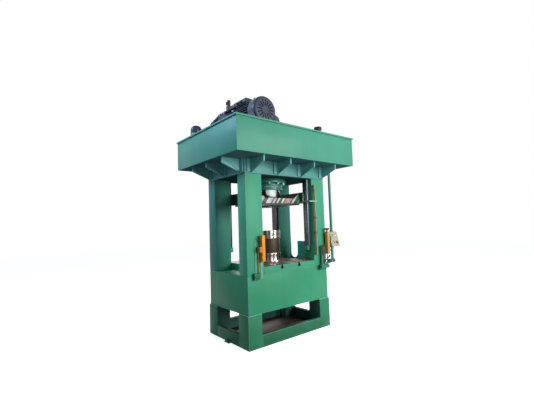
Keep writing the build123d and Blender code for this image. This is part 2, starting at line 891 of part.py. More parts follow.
# Stroke rail: a thin angle on the front right column
rail_x = window_x + rail_shift
rail_bottom = sill_z + rail_rise
rail_len = crown_z - rail_top_gap - rail_bottom
with BuildPart() as stroke_rail:
    with BuildSketch(Plane.XY.offset(rail_bottom)):
        with Locations((rail_x, front_y)):
            Rectangle(rail_face, rail_t, align=(Align.MIN, Align.MAX))
            Rectangle(rail_t, rail_web, align=(Align.MIN, Align.MAX))
    extrude(amount=rail_len)
stroke_rail.part.label = "stroke_rail"
export_step(stroke_rail.part, "parts/stroke_rail.step")

# Rod beside it, held by a clip at each end
rod_x = window_x + rod_shift
rod_y = front_y - rod_y_gap
with BuildPart() as stroke_rod:
    with BuildSketch(Plane.XY.offset(rail_bottom)):
        with Locations((rod_x, rod_y)):
            Circle(rod_d / 2)
    extrude(amount=rail_len)
    for level in (rail_bottom + clip_inset, rail_bottom + rail_len - clip_inset - clip_h):
        with BuildSketch(Plane.XY.offset(level)):
            with Locations((rod_x, front_y)):
                Rectangle(rod_d, rod_y_gap, align=(Align.CENTER, Align.MAX))
        extrude(amount=clip_h)
stroke_rod.part.label = "stroke_rod"
export_step(stroke_rod.part, "parts/stroke_rod.step")

# Limit switches on the rail, each with a short roller plunger
switch_x = rail_x + rail_t + switch_w / 2
switch_y = front_y - rail_t - switch_d
with BuildPart() as limit_switches:
    for rise in switch_rise:
        with BuildSketch(Plane.XZ.offset(-switch_y)):
            with Locations((switch_x, bolster_top + rise)):
                Rectangle(switch_w, switch_h)
        extrude(amount=-switch_d)
        with BuildSketch(Plane.XZ.offset(-switch_y)):
            with Locations((switch_x, bolster_top + rise)):
                Circle(plunger_d / 2)
        extrude(amount=plunger_len)
limit_switches.part.label = "limit_switches"
export_step(limit_switches.part, "parts/limit_switches.step")

# Striker arm: from the slide's front edge forward past the column, then across to the switches
arm_x = shoe_inner_x - arm_shoe_gap - arm_t
arm_tip_x = switch_x + switch_w / 2 + arm_past
arm_front = rod_y - rod_d / 2 - arm_gap - arm_t
with BuildPart() as striker_arm:
    with BuildSketch(Plane.XY.offset(slide_bottom + arm_rise)):
        with Locations((arm_x, -slide_d / 2)):
            Rectangle(arm_t, -arm_front - slide_d / 2, align=(Align.MIN, Align.MAX))
        with Locations((arm_x, arm_front)):
            Rectangle(arm_tip_x - arm_x, arm_t, align=(Align.MIN, Align.MIN))
    extrude(amount=arm_h)
striker_arm.part.label = "striker_arm"
export_step(striker_arm.part, "parts/striker_arm.step")

# Pendant pipe: its upper length hangs from a small plate under the tank, its lower length is clamped
# to a stay on the column
pipe_x = bar_right_x + bar_w / 2 + plug_w + box_gap + box_w / 2
pipe_y = front_y + pipe_shift_y
box_bottom = box_top - box_h
stay_outline = (
    (right_x, pipe_end + stay_h),
    (pipe_x, pipe_end + stay_h),
    (pipe_x, pipe_end),
    (right_x, pipe_end + stay_h - stay_root_h),
)
with BuildPart() as pendant_pipe:
    with BuildSketch(Plane.XY.offset(tank_z)):
        with Locations((pipe_x, pipe_y)):
            Rectangle(pipe_flange, pipe_flange)
    extrude(amount=-pipe_flange_t)
    with BuildSketch(Plane.XY.offset(box_top)):
        with Locations((pipe_x, pipe_y)):
            Circle(pipe_d / 2)
    extrude(amount=tank_z - pipe_flange_t - box_top)
    with BuildSketch(Plane.XY.offset(pipe_end)):
        with Locations((pipe_x, pipe_y)):
            Circle(pipe_d / 2)
    extrude(amount=box_bottom - pipe_end)
    with BuildSketch(Plane.XY.offset(pipe_end)):
        with Locations((pipe_x - clamp_shift, pipe_y)):
            RectangleRounded(clamp_w, clamp_d, small_round)
    extrude(amount=clamp_h)
    with BuildSketch(Plane.XZ.offset(-front_y - stay_t)):
        Polygon(*stay_outline, align=None)
    extrude(amount=stay_t)
pendant_pipe.part.label = "pendant_pipe"
export_step(pendant_pipe.part, "parts/pendant_pipe.step")

# Pendant box: sloping front, with holes and raised bezels for its controls
box_front = pipe_y - box_ahead
box_back = pipe_y + box_behind
panel = Plane(
    origin=(pipe_x, box_front - box_lean / 2, box_top - box_h / 2),
    x_dir=(1, 0, 0),
    z_dir=(0, -box_h, box_lean),
)
control_spots = {
    "start_button": (-control_x, control_top),
    "return_button": (control_x, control_top),
    "mode_selector": (-control_x, -control_low),
    "stop_button": (control_x, -control_low),
}
with BuildPart() as pendant_box:
    with BuildSketch(Plane.YZ.offset(pipe_x - box_w / 2)):
        with BuildLine():
            Polyline(
                (box_front, box_top),
                (box_back, box_top),
                (box_back, box_bottom),
                (box_front - box_lean, box_bottom),
                close=True,
            )
        make_face()
    extrude(amount=box_w)
    fillet(pendant_box.edges().filter_by(Axis.X, reverse=True), small_round)
    with BuildSketch(panel):
        with Locations(*control_spots.values()):
            Circle(bezel_d / 2)
    extrude(amount=bezel_h)
    with BuildSketch(panel.offset(bezel_h)):
        with Locations(*control_spots.values()):
            Circle(button_d / 2 + button_clear)
    extrude(amount=-(bezel_h + button_seat), mode=Mode.SUBTRACT)
pendant_box.part.label = "pendant_box"
export_step(pendant_box.part, "parts/pendant_box.step")

# Push buttons: a round key whose stem stands clear of the seat's end by its travel
stem_len = bezel_h + button_seat - button_travel - button_end_gap
for name in ("start_button", "return_button"):
    with BuildPart() as button:
        with BuildSketch(panel.offset(bezel_h + button_proud)):
            with Locations(control_spots[name]):
                Circle(button_d / 2)
        extrude(amount=-(button_proud + stem_len))
        fillet(button.edges().filter_by(GeomType.CIRCLE).sort_by(Axis.Y)[0], button_round)
    button.part.label = name
    export_step(button.part, f"parts/{name}.step")

# Stop button: a mushroom head on the same stem
with BuildPart() as stop_button:
    with BuildSketch(panel.offset(bezel_h + stop_rise)):
        with Locations(control_spots["stop_button"]):
            Circle(stop_d / 2)
    extrude(amount=stop_h)
    fillet(stop_button.edges().filter_by(GeomType.CIRCLE).sort_by(Axis.Y)[0], stop_round)
    with BuildSketch(panel.offset(bezel_h + stop_rise)):
        with Locations(control_spots["stop_button"]):
            Circle(button_d / 2)
    extrude(amount=-(stop_rise + stem_len))
stop_button.part.label = "stop_button"
export_step(stop_button.part, "parts/stop_button.step")

# Selector: a round base with a raised grip across it
with BuildPart() as mode_selector:
    with BuildSketch(panel.offset(bezel_h - stem_len)):
        with Locations(control_spots["mode_selector"]):
            Circle(button_d / 2)
    extrude(amount=stem_len + knob_base_h)
    with BuildSketch(panel.offset(bezel_h + knob_base_h)):
        with Locations(control_spots["mode_selector"]):
            SlotOverall(knob_grip_len, knob_grip_w, rotation=90)
    extrude(amount=knob_grip_h)
mode_selector.part.label = "mode_selector"
export_step(mode_selector.part, "parts/mode_selector.step")

# Shelf bracket for the hand lubricator, on the front right column
shelf_right = right_x - shelf_short
shelf_left = shelf_right - shelf_w
web_outline = (
    (front_y, shelf_z),
    (front_y - shelf_reach + shelf_web_lip, shelf_z),
    (front_y - shelf_web_toe, shelf_z - shelf_web_h),
    (front_y, shelf_z - shelf_web_h),
)
with BuildPart() as lube_shelf:
    with BuildSketch(Plane.XY.offset(shelf_z)):
        with Locations((shelf_left, front_y)):
            Rectangle(shelf_w, shelf_reach, align=(Align.MIN, Align.MAX))
    extrude(amount=shelf_t)
    with BuildSketch(Plane.XY.offset(shelf_z)):
        with Locations((shelf_left, front_y - shelf_reach)):
            Rectangle(shelf_w, shelf_web_lip, align=(Align.MIN, Align.MIN))
    extrude(amount=-shelf_lip_h)
    for web_x in (shelf_left + shelf_web_inset, shelf_right - shelf_web_inset - shelf_web_t):
        with BuildSketch(Plane.YZ.offset(web_x)):
            Polygon(*web_outline, align=None)
        extrude(amount=shelf_web_t)
lube_shelf.part.label = "lube_shelf"
export_step(lube_shelf.part, "parts/lube_shelf.step")

# Hand lubricator: foot, slim pump body between two legs, reservoir, and the pivot pin of its lever
lube_x = shelf_left + lube_inset
lube_y = front_y - shelf_reach / 2
lever_z = shelf_top + lever_rise
lube_front = lube_y - lube_body_w / 2
with BuildPart() as lube_pump:
    with BuildSketch(Plane.XY.offset(shelf_top)):
        with Locations((lube_x, lube_y)):
            Rectangle(lube_foot_w, lube_foot_d)
    extrude(amount=lube_foot_h)
    with BuildSketch(Plane.XY.offset(shelf_top + lube_foot_h)):
        with Locations((lube_x, lube_y)):
            Rectangle(lube_body_w, lube_body_w)
            with GridLocations(reservoir_w - lube_leg_w, 1, 2, 1):
                Rectangle(lube_leg_w, lube_body_w)
    extrude(amount=lube_body_h)
    with BuildSketch(Plane.XY.offset(shelf_top + lube_foot_h + lube_body_h)):
        with Locations((lube_x, lube_y)):
            RectangleRounded(reservoir_w, reservoir_d, reservoir_round)
    extrude(amount=reservoir_h)
    with BuildSketch(Plane.XZ.offset(-lube_front)):
        with Locations((lube_x, lever_z)):
            Circle(pivot_d / 2)
    extrude(amount=pivot_len)
lube_pump.part.label = "lube_pump"
export_step(lube_pump.part, "parts/lube_pump.step")

# Lever of the lubricator: its eye on the pivot pin and a round knob at its raised end
with BuildPart() as lube_lever:
    with BuildSketch(Plane.XZ.offset(-(lube_front - lever_gap))):
        with Locations((lube_x, lever_z)):
            Circle(lever_eye_d / 2)
            Rectangle(lever_reach, lever_w, rotation=lever_lift, align=(Align.MIN, Align.CENTER))
            Circle(pivot_d / 2 + shaft_clear, mode=Mode.SUBTRACT)
    extrude(amount=lever_w)
    lever_plane = Plane.XZ.offset(-(lube_front - lever_gap - lever_w / 2))
    with Locations(lever_plane):
        with Locations((lube_x, lever_z)):
            with PolarLocations(lever_reach, 1, start_angle=lever_lift):
                Sphere(lever_knob_d / 2)
lube_lever.part.label = "lube_lever"
export_step(lube_lever.part, "parts/lube_lever.step")

# Motor: ribbed body between two end shields, bored for its shaft. Its two feet run forward under the
# fan cowl to a cradle plate that stands round the cowl's lower half.
motor_z = lid_top + motor_rise
motor_back = motor_front + motor_len
shield_r = cowl_r - cowl_wall - slide_fit
foot_y = motor_front + motor_len / 2
foot_pitch = 2 * motor_core_r - foot_w
cradle_y = motor_front - foot_ahead
cradle_outline = (
    (-cradle_reach, 0),
    (cradle_reach, 0),
    (cradle_reach, cradle_side_h),
    (cradle_reach - cradle_step, cradle_knee_h),
    (cowl_r, cradle_top_h),
    (-cowl_r, cradle_top_h),
    (cradle_step - cradle_reach, cradle_knee_h),
    (-cradle_reach, cradle_side_h),
)
with BuildPart() as motor_body:
    with BuildSketch(Plane.XZ.offset(-motor_back)):
        with Locations((motor_x, motor_z)):
            Circle(motor_core_r)
            with PolarLocations(0, fin_count):
                Rectangle(fin_r, fin_t, align=(Align.MIN, Align.CENTER))
    extrude(amount=motor_len)
    for end_y in (motor_front + shield_w, motor_back):
        with BuildSketch(Plane.XZ.offset(-end_y)):
            with Locations((motor_x, motor_z)):
                Circle(shield_r)
        extrude(amount=shield_w)
    with BuildSketch(Plane.XY.offset(lid_top)):
        with Locations((motor_x, foot_y + foot_l / 2)):
            with GridLocations(foot_pitch, 1, 2, 1):
                Rectangle(foot_w, foot_y + foot_l / 2 - cradle_y, align=(Align.CENTER, Align.MAX))
    extrude(amount=foot_t)
    with BuildSketch(Plane.XZ.offset(-cradle_y - cradle_t)):
        with Locations((motor_x, lid_top)):
            Polygon(*cradle_outline, align=None)
        with Locations((motor_x, motor_z)):
            Circle(cowl_r + cradle_gap, mode=Mode.SUBTRACT)
    extrude(amount=cradle_t)
    with BuildSketch(Plane.XY.offset(lid_top + foot_t)):
        with Locations((motor_x, foot_y)):
            with GridLocations(foot_pitch, 1, 2, 1):
                Rectangle(foot_t, foot_l)
    extrude(amount=foot_web_h)
    with BuildSketch(Plane.XZ.offset(-motor_back)):
        with Locations((motor_x, motor_z)):
            Circle(shaft_d / 2 + shaft_clear)
    extrude(amount=motor_len, mode=Mode.SUBTRACT)
motor_body.part.label = "motor_body"
export_step(motor_body.part, "parts/motor_body.step")

# Fan cowl: pressed dome that laps over the front end shield, with slots in its face
cowl_front = motor_front - cowl_len
with BuildPart() as fan_cowl:
    with BuildSketch(Plane.XZ.offset(-(motor_front + cowl_lap))):
        with Locations((motor_x, motor_z)):
            Circle(cowl_r)
    extrude(amount=cowl_len + cowl_lap)
    fillet(fan_cowl.edges().filter_by(GeomType.CIRCLE).sort_by(Axis.Y)[0], cowl_round)
    offset(amount=-cowl_wall, openings=fan_cowl.faces().sort_by(Axis.Y)[-1])
    with BuildSketch(Plane.XZ.offset(-(cowl_front + 2 * cowl_wall))):
        with Locations((motor_x, motor_z)):
            with PolarLocations(cowl_slot_r, cowl_slots):
                SlotOverall(cowl_slot_len, cowl_slot_w)
    extrude(amount=3 * cowl_wall, mode=Mode.SUBTRACT)
fan_cowl.part.label = "fan_cowl"
export_step(fan_cowl.part, "parts/fan_cowl.step")

# Motor shaft, running through the body to the coupling
pump_y = motor_back + bell_len
shaft_back = pump_y - coupling_gap
with BuildPart() as motor_shaft:
    with BuildSketch(Plane.XZ.offset(-shaft_back)):
        with Locations((motor_x, motor_z)):
            Circle(shaft_d / 2)
    extrude(amount=shaft_back - motor_front + shaft_front)
    with BuildSketch(Plane.XZ.offset(-shaft_back)):
        with Locations((motor_x, motor_z)):
            Circle(coupling_d / 2)
    extrude(amount=coupling_len)
motor_shaft.part.label = "motor_shaft"
export_step(motor_shaft.part, "parts/motor_shaft.step")

# Fan: hub and straight blades
with BuildPart() as motor_fan:
    with BuildSketch(Plane.XZ.offset(-(motor_front - fan_gap))):
        with Locations((motor_x, motor_z)):
            Circle(fan_hub_d / 2)
            with PolarLocations(0, fan_blades):
                Rectangle(fan_r, fan_blade_t, align=(Align.MIN, Align.CENTER))
            Circle(shaft_d / 2, mode=Mode.SUBTRACT)
    extrude(amount=fan_w)
motor_fan.part.label = "motor_fan"
export_step(motor_fan.part, "parts/motor_fan.step")

# Terminal box on the motor's back, with its lid
term_y = motor_front + term_inset + term_l / 2
with BuildPart() as terminal_box:
    with BuildSketch(Plane.XY.offset(motor_z + fin_r)):
        with Locations((motor_x, term_y)):
            Rectangle(term_neck_w, term_neck_l)
    extrude(amount=term_neck_h)
    with BuildSketch(Plane.XY.offset(motor_z + fin_r + term_neck_h)):
        with Locations((motor_x, term_y)):
            RectangleRounded(term_w, term_l, term_round)
    extrude(amount=term_h)
terminal_box.part.label = "terminal_box"
export_step(terminal_box.part, "parts/terminal_box.step")

# Bell housing between motor and pump
with BuildPart() as bell_housing:
    with BuildSketch(Plane.XZ.offset(-(motor_back + bell_flange_t))):
        with Locations((motor_x, motor_z)):
            Circle(bell_flange_r)
    extrude(amount=bell_flange_t)
    with BuildSketch(Plane.XZ.offset(-(motor_back + bell_flange_t))):
        with Locations((motor_x, motor_z)):
            Circle(bell_r)
    extrude(amount=-(bell_len - bell_flange_t), taper=bell_taper)
    with BuildSketch(Plane.XZ.offset(-(pump_y - bell_flange_t))):
        with Locations((motor_x, motor_z)):
            Circle(bell_bore_r)
    extrude(amount=bell_len, mode=Mode.SUBTRACT)
bell_housing.part.label = "bell_housing"
export_step(bell_housing.part, "parts/bell_housing.step")

# Axial piston pump on the bell: mounting flange, round case and square port head
with BuildPart() as pump:
    with BuildSketch(Plane.XZ.offset(-pump_y)):
        with Locations((motor_x, motor_z)):
            Circle(pump_flange_r)
    extrude(amount=-pump_flange_t)
    with BuildSketch(Plane.XZ.offset(-(pump_y + pump_flange_t))):
        with Locations((motor_x, motor_z)):
            Circle(pump_r)
    extrude(amount=-(pump_len - pump_flange_t))
    with BuildSketch(Plane.XZ.offset(-(pump_y + pump_len))):
        with Locations((motor_x, motor_z)):
            Rectangle(pump_head, pump_head)
    extrude(amount=-pump_head_l)
pump.part.label = "pump"
export_step(pump.part, "parts/pump.step")

# Valve block on two stand plates that straddle the bell and the pump
block_front = motor_back + bell_flange_t + block_gap
block_y = block_front + block_l / 2
block_rise = motor_rise + bell_r + block_lift
block_z = lid_top + block_rise
stand_pitch = 2 * (bell_r + block_side_gap) + stand_t
with BuildPart() as valve_block:
    with BuildSketch(Plane.XY.offset(block_z)):
        with Locations((motor_x, block_y)):
            Rectangle(stand_pitch + stand_t, block_l)
    extrude(amount=block_h)
    with BuildSketch(Plane.XY.offset(lid_top)):
        with Locations((motor_x, block_y)):
            with GridLocations(stand_pitch, 1, 2, 1):
                Rectangle(stand_t, block_l)
    extrude(amount=block_rise)
valve_block.part.label = "valve_block"
export_step(valve_block.part, "parts/valve_block.step")

# Main valve, upright on the block: square body with its round coil above
valve_spot = (motor_x - valve_side, block_front + valve_inset + valve_w / 2)
with BuildPart() as valve_coils:
    with BuildSketch(Plane.XY.offset(block_z + block_h)):
        with Locations(valve_spot):
            RectangleRounded(valve_w, valve_w, small_round)
    extrude(amount=valve_h)
    with BuildSketch(Plane.XY.offset(block_z + block_h + valve_h)):
        with Locations(valve_spot):
            Circle(coil_d / 2)
    extrude(amount=coil_h)
    fillet(valve_coils.edges().filter_by(GeomType.CIRCLE).sort_by(Axis.Z)[-1], coil_round)
valve_coils.part.label = "valve_coils"
export_step(valve_coils.part, "parts/valve_coils.step")

# Return pipe from the back of the valve block down into the tank lid
return_x = motor_x - return_side
return_y = block_front + block_l
return_z = block_z + return_rise
with BuildPart() as return_pipe:
    with BuildLine() as return_route:
        FilletPolyline(
            (return_x, return_y, return_z),
            (return_x, return_y + return_first, return_z),
            (return_x, return_y + return_run, return_z - return_fall),
            (return_x, return_y + return_run, lid_top),
            radius=return_bend,
        )
    with BuildSketch(Plane(origin=return_route.line @ 0, z_dir=return_route.line % 0)):
        Circle(return_d / 2)
    sweep()
return_pipe.part.label = "return_pipe"
export_step(return_pipe.part, "parts/return_pipe.step")

# Breather filter near the tank's left edge: a dome on a neck
breather_spot = (-tank_w / 2 + breather_left, tank_d / 2 - breather_back)
with BuildPart() as breather_filter:
    with BuildSketch(Plane.XY.offset(lid_top)):
        with Locations(breather_spot):
            Circle(breather_neck_r)
    extrude(amount=breather_neck_h)
    with BuildSketch(Plane.XY.offset(lid_top + breather_neck_h)):
        with Locations(breather_spot):
            Circle(breather_r)
    extrude(amount=breather_h)
    fillet(breather_filter.edges().filter_by(GeomType.CIRCLE).sort_by(Axis.Z)[-1], breather_round)
breather_filter.part.label = "breather_filter"
export_step(breather_filter.part, "parts/breather_filter.step")

# Filler cap at the front right of the lid
filler_spot = (tank_w / 2 - filler_right, -tank_d / 2 + filler_front)
with BuildPart() as filler_cap:
    with BuildSketch(Plane.XY.offset(lid_top)):
        with Locations(filler_spot):
            Circle(filler_neck_r)
    extrude(amount=filler_neck_h)
    with BuildSketch(Plane.XY.offset(lid_top + filler_neck_h)):
        with Locations(filler_spot):
            Circle(filler_r)
    extrude(amount=filler_cap_h)
    fillet(filler_cap.edges().filter_by(GeomType.CIRCLE).sort_by(Axis.Z)[-1], filler_round)
filler_cap.part.label = "filler_cap"
export_step(filler_cap.part, "parts/filler_cap.step")
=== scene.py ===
import json
from math import cos, pi, radians, sin

import bpy
from mathutils import Matrix, Vector

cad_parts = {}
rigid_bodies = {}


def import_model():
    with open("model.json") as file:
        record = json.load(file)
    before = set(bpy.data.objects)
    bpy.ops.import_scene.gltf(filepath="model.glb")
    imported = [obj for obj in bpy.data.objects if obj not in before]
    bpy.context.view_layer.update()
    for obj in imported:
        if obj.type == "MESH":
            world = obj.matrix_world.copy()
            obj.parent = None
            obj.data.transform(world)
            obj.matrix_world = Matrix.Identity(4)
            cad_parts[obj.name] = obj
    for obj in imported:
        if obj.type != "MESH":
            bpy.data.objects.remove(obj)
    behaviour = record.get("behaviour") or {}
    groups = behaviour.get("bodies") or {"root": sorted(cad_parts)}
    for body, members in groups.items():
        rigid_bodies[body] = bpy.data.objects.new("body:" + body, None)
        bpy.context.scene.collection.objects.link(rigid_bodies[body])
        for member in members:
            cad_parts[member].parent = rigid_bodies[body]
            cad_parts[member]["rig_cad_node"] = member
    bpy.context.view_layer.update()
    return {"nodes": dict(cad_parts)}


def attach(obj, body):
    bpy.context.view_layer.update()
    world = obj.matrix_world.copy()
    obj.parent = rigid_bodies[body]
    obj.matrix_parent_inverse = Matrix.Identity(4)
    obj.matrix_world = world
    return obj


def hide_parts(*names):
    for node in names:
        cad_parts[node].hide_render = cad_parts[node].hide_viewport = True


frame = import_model()

# The camera stands off the press's front left corner at eye level, and is held slightly off level.
# Its place, direction and lens put the frame's corners where the photograph has them.
lens = bpy.data.cameras.new("lens")
lens.sensor_width = 36.0
lens.lens = 21.80
camera = bpy.data.objects.new("camera", lens)
bpy.context.scene.collection.objects.link(camera)
camera_place = (-3.0864, -3.8237, 1.5468)
camera_turn = -0.6784
camera_tilt = 0.0743
camera_roll = -0.0317
camera.matrix_world = (
    Matrix.Translation(camera_place)
    @ Matrix.Rotation(camera_turn, 4, "Z")
    @ Matrix.Rotation(pi / 2 + camera_tilt, 4, "X")
    @ Matrix.Rotation(camera_roll, 4, "Z")
)
bpy.context.scene.camera = camera


# Floor and light: a pale floor, a wide soft lamp from the front right as from a row of windows, a
# weaker one behind and a narrow cool one high at the left. The camera, glass and glossy surfaces
# see white all round.
class Wire:
    """A value on its way through a finish. Python's operators on it add Math nodes."""

    def __init__(self, finish, socket):
        self.finish = finish
        self.socket = socket

    def maths(self, operation, first, second=None):
        return self.finish.maths(operation, first, second)

    def __add__(self, other):
        return self.maths("ADD", self, other)

    def __radd__(self, other):
        return self.maths("ADD", other, self)

    def __sub__(self, other):
        return self.maths("SUBTRACT", self, other)

    def __rsub__(self, other):
        return self.maths("SUBTRACT", other, self)

    def __mul__(self, other):
        return self.maths("MULTIPLY", self, other)

    def __rmul__(self, other):
        return self.maths("MULTIPLY", other, self)

    def __truediv__(self, other):
        return self.maths("DIVIDE", self, other)

    def __gt__(self, other):
        return self.maths("GREATER_THAN", self, other)

    def __lt__(self, other):
        return self.maths("LESS_THAN", self, other)

    def size(self):
        return self.maths("ABSOLUTE", self)

    def fraction(self):
        return self.maths("FRACT", self)

    def larger(self, other):
        return self.maths("MAXIMUM", self, other)


class Shading:
    """A shader and what feeds it. One method adds any node."""

    def __init__(self, tree, shader):
        self.tree = tree
        self.shader = tree.nodes[shader]
        self.coordinates = None

    def plug(self, value, socket):
        if isinstance(value, Wire):
            self.tree.links.new(value.socket, socket)
        else:
            socket.default_value = value

    def node(self, kind, settings=None, inputs=None, output=0):
        made = self.tree.nodes.new(kind)
        for setting, value in (settings or {}).items():
            setattr(made, setting, value)
        for key, value in (inputs or {}).items():
            self.plug(value, made.inputs[key])
        return Wire(self, made.outputs[output])

    def maths(self, operation, first, second=None):
        values = {0: first} if second is None else {0: first, 1: second}
        return self.node("ShaderNodeMath", {"operation": operation}, values)

    def feed(self, socket, value):
        self.plug(value, self.shader.inputs[socket])

    def place(self):
        if self.coordinates is None:
            self.coordinates = self.node("ShaderNodeTexCoord", output="Object")
        return self.coordinates

    def axis(self, letter):
        return self.node("ShaderNodeSeparateXYZ", None, {0: self.place()}, "XYZ".index(letter))

    def noise(self, scale, detail, stretch=(1.0, 1.0, 1.0), roughness=0.5):
        spread = self.node("ShaderNodeMapping", None, {"Vector": self.place(), "Scale": stretch})
        values = {"Vector": spread, "Scale": scale, "Detail": detail, "Roughness": roughness}
        return self.node("ShaderNodeTexNoise", None, values)

    def between(self, wire, low, high):
        values = {"Value": wire, "From Min": low, "From Max": high}
        return self.node("ShaderNodeMapRange", {"interpolation_type": "SMOOTHSTEP"}, values)

    def mix(self, factor, first, second):
        values = {0: factor, 6: first, 7: second}
        return self.node("ShaderNodeMix", {"data_type": "RGBA"}, values, 2)

    def bump(self, height, distance, strength):
        values = {"Height": height, "Distance": distance, "Strength": strength}
        self.feed("Normal", self.node("ShaderNodeBump", None, values))

    def in_view(self):
        """One for what the camera, glass and gloss see, and nought for light on the press."""
        camera = self.node("ShaderNodeLightPath", output="Is Camera Ray")
        glossy = self.node("ShaderNodeLightPath", output="Is Glossy Ray")
        clear = self.node("ShaderNodeLightPath", output="Is Transmission Ray")
        return camera.larger(glossy).larger(clear)


class Finish(Shading):
    """A material in the making, with the values that are the same all over it."""

    def __init__(self, name, **constants):
        self.material = bpy.data.materials.new(name)
        self.material.use_nodes = True
        super().__init__(self.material.node_tree, "Principled BSDF")
        for socket, value in constants.items():
            label = socket.replace("_", " ").title().replace("Ior", "IOR")
            self.shader.inputs[label].default_value = value


def shade(colour, share=1.0, lift=0.0):
    """A colour made darker or lighter, with its alpha."""
    return tuple(min(1.0, share * part + lift) for part in colour) + (1.0,)


floor_size = 40.0
floor_drop = 0.001
floor_glow = 0.74
bpy.ops.object.select_all(action="DESELECT")
bpy.ops.mesh.primitive_plane_add(size=floor_size, location=(0, 0, -floor_drop))
floor = bpy.context.object
floor.name = "floor"
floor_paint = Finish("pale_floor", Base_Color=(0.15, 0.16, 0.17, 1), Roughness=0.9)
white = floor_paint.node("ShaderNodeBsdfDiffuse", None, {"Color": (0.96, 0.96, 0.96, 1)}, "BSDF")
glowing = {"Color": (1, 1, 1, 1), "Strength": floor_glow}
glow = floor_paint.node("ShaderNodeEmission", None, glowing, "Emission")
lit = floor_paint.node("ShaderNodeAddShader", None, {0: white, 1: glow})
plain = Wire(floor_paint, floor_paint.shader.outputs["BSDF"])
sides = {0: floor_paint.in_view(), 1: plain, 2: lit}
shown = floor_paint.node("ShaderNodeMixShader", None, sides)
floor_paint.plug(shown, floor_paint.tree.nodes["Material Output"].inputs["Surface"])
floor.data.materials.append(floor_paint.material)

world = bpy.data.worlds.new("surroundings")
bpy.context.scene.world = world
world.use_nodes = True
sky = Shading(world.node_tree, "Background")
light_on_press, light_in_view = 0.27, 1.0
seen = sky.in_view()
levels = {"Value": seen, "To Min": light_on_press, "To Max": light_in_view}
sky.feed("Strength", sky.node("ShaderNodeMapRange", None, levels))
sky.feed("Color", sky.mix(seen, (0.80, 0.95, 0.96, 1), (1, 1, 1, 1)))


def lamp(name, place, target, width, height, power, colour, spread=180.0):
    """An area lamp at a place, turned to face a target."""
    light = bpy.data.lights.new(name, "AREA")
    light.shape = "RECTANGLE"
    light.size = width
    light.size_y = height
    light.energy = power
    light.color = colour
    light.spread = radians(spread)
    shining = bpy.data.objects.new(name, light)
    bpy.context.scene.collection.objects.link(shining)
    shining.location = place
    shining.rotation_euler = (Vector(target) - Vector(place)).to_track_quat("-Z", "Y").to_euler()


lamp(
    "windows", place=(2.4, -8.2, 3.2), target=(0, 0, 1.5), width=7.0, height=4.0, power=860,
    colour=(1.0, 0.99, 0.95),
)
lamp(
    "cool_window", place=(-4.4, 2.2, 5.2), target=(-1.0, 0, 2.9), width=2.6, height=2.0, power=24,
    colour=(0.46, 0.66, 1.0), spread=38.0,
)
lamp(
    "back_windows", place=(2.6, 7.0, 6.0), target=(0, 0, 1.9), width=6.0, height=3.0, power=380,
    colour=(0.97, 1.0, 1.0),
)
bpy.context.scene.view_settings.view_transform = "Standard"


# Base plinth: four legs of welded box section with a bottom rail between each two, held down by
# lugs. The steel is sprayed all over in satin sea-green machine enamel, with a lighter green on its
# edges that is a painted highlight.
def enamel(name, colour, edge=0.0, rough=0.38, coat=0.03, grime=0.3, gloss=0.12):
    """Sprayed enamel: slow changes of tone, orange peel, dull patches, runs, and grime low down."""
    paint = Finish(name, Coat_Weight=coat, Coat_Roughness=0.16, Specular_Ior_Level=gloss)
    cloud = paint.between(paint.noise(1.1, 3.0), 0.32, 0.68)
    patch = paint.noise(6.0, 5.0, roughness=0.62)
    base = paint.mix(cloud, shade(colour, 0.90), shade(colour, 1.06, edge))
    run = paint.noise(9.0, 3.0, stretch=(1.0, 1.0, 0.10))
    base = paint.mix(paint.between(run, 0.52, 0.72) * 0.16, base, shade(colour, 1.16, 0.02))
    base = paint.mix(paint.between(patch, 0.57, 0.75) * 0.22, base, shade(colour, 0.74, 0.006))
    grime_top = 0.34
    near_floor = paint.between(grime_top - paint.axis("Z"), 0.0, grime_top)
    low = near_floor * paint.between(patch, 0.35, 0.70)
    base = paint.mix(low * grime, base, (0.030, 0.040, 0.030, 1))
    paint.feed("Base Color", base)
    paint.feed("Roughness", rough + patch * 0.16 + low * 0.2)
    paint.bump(paint.noise(260.0, 1.0), 0.0004, 0.5)
    return paint.material


frame_green = enamel("frame_green", (0.052, 0.300, 0.178))
# The plinth is painted a darker copy of the frame green, a painted shade.
shaded_plinth_green = enamel("shaded_plinth_green", (0.027, 0.184, 0.096), grime=0.28)
# A lighter copy of the frame paint goes on broken edges and weld beads, a painted highlight.
frame_edge_highlight = enamel("frame_edge_highlight", (0.085, 0.370, 0.250), edge=0.01, rough=0.28)


def rounded(node, width, finishes, body="frame", corner=35.0, steps=2):
    """A copy of a CAD piece with its sharp edges broken. The last finish goes on those edges."""
    joined([frame["nodes"][node]])
    bpy.ops.object.duplicate()
    piece = bpy.context.object
    del piece["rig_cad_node"]
    piece.name = node + "_finished"
    piece.data.materials.clear()
    for finish in finishes:
        piece.data.materials.append(finish)
    bpy.ops.object.mode_set(mode="EDIT")
    bpy.ops.mesh.select_all(action="SELECT")
    bpy.ops.mesh.remove_doubles(threshold=0.00001)
    bpy.ops.mesh.customdata_custom_splitnormals_clear()
    bpy.ops.mesh.dissolve_limited(angle_limit=radians(0.5))
    bpy.ops.object.mode_set(mode="OBJECT")
    ease(piece, width, steps, corner, finish=len(finishes) - 1)
    bpy.ops.object.shade_smooth_by_angle(angle=radians(32))
    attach(piece, body)
    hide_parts(node)
    return piece


def repaint(piece, finish, test):
    """Gives the faces whose middle and direction pass a test another finish."""
    piece.data.materials.append(finish)
    for face in piece.data.polygons:
        if test(face.center, face.normal):
            face.material_index = len(piece.data.materials) - 1


def add(primitive, **sizes):
    """A new primitive at its place and size, with nothing else selected."""
    bpy.ops.object.select_all(action="DESELECT")
    primitive(**sizes)
    bpy.ops.object.transform_apply(location=True, rotation=True, scale=True)
    return bpy.context.object


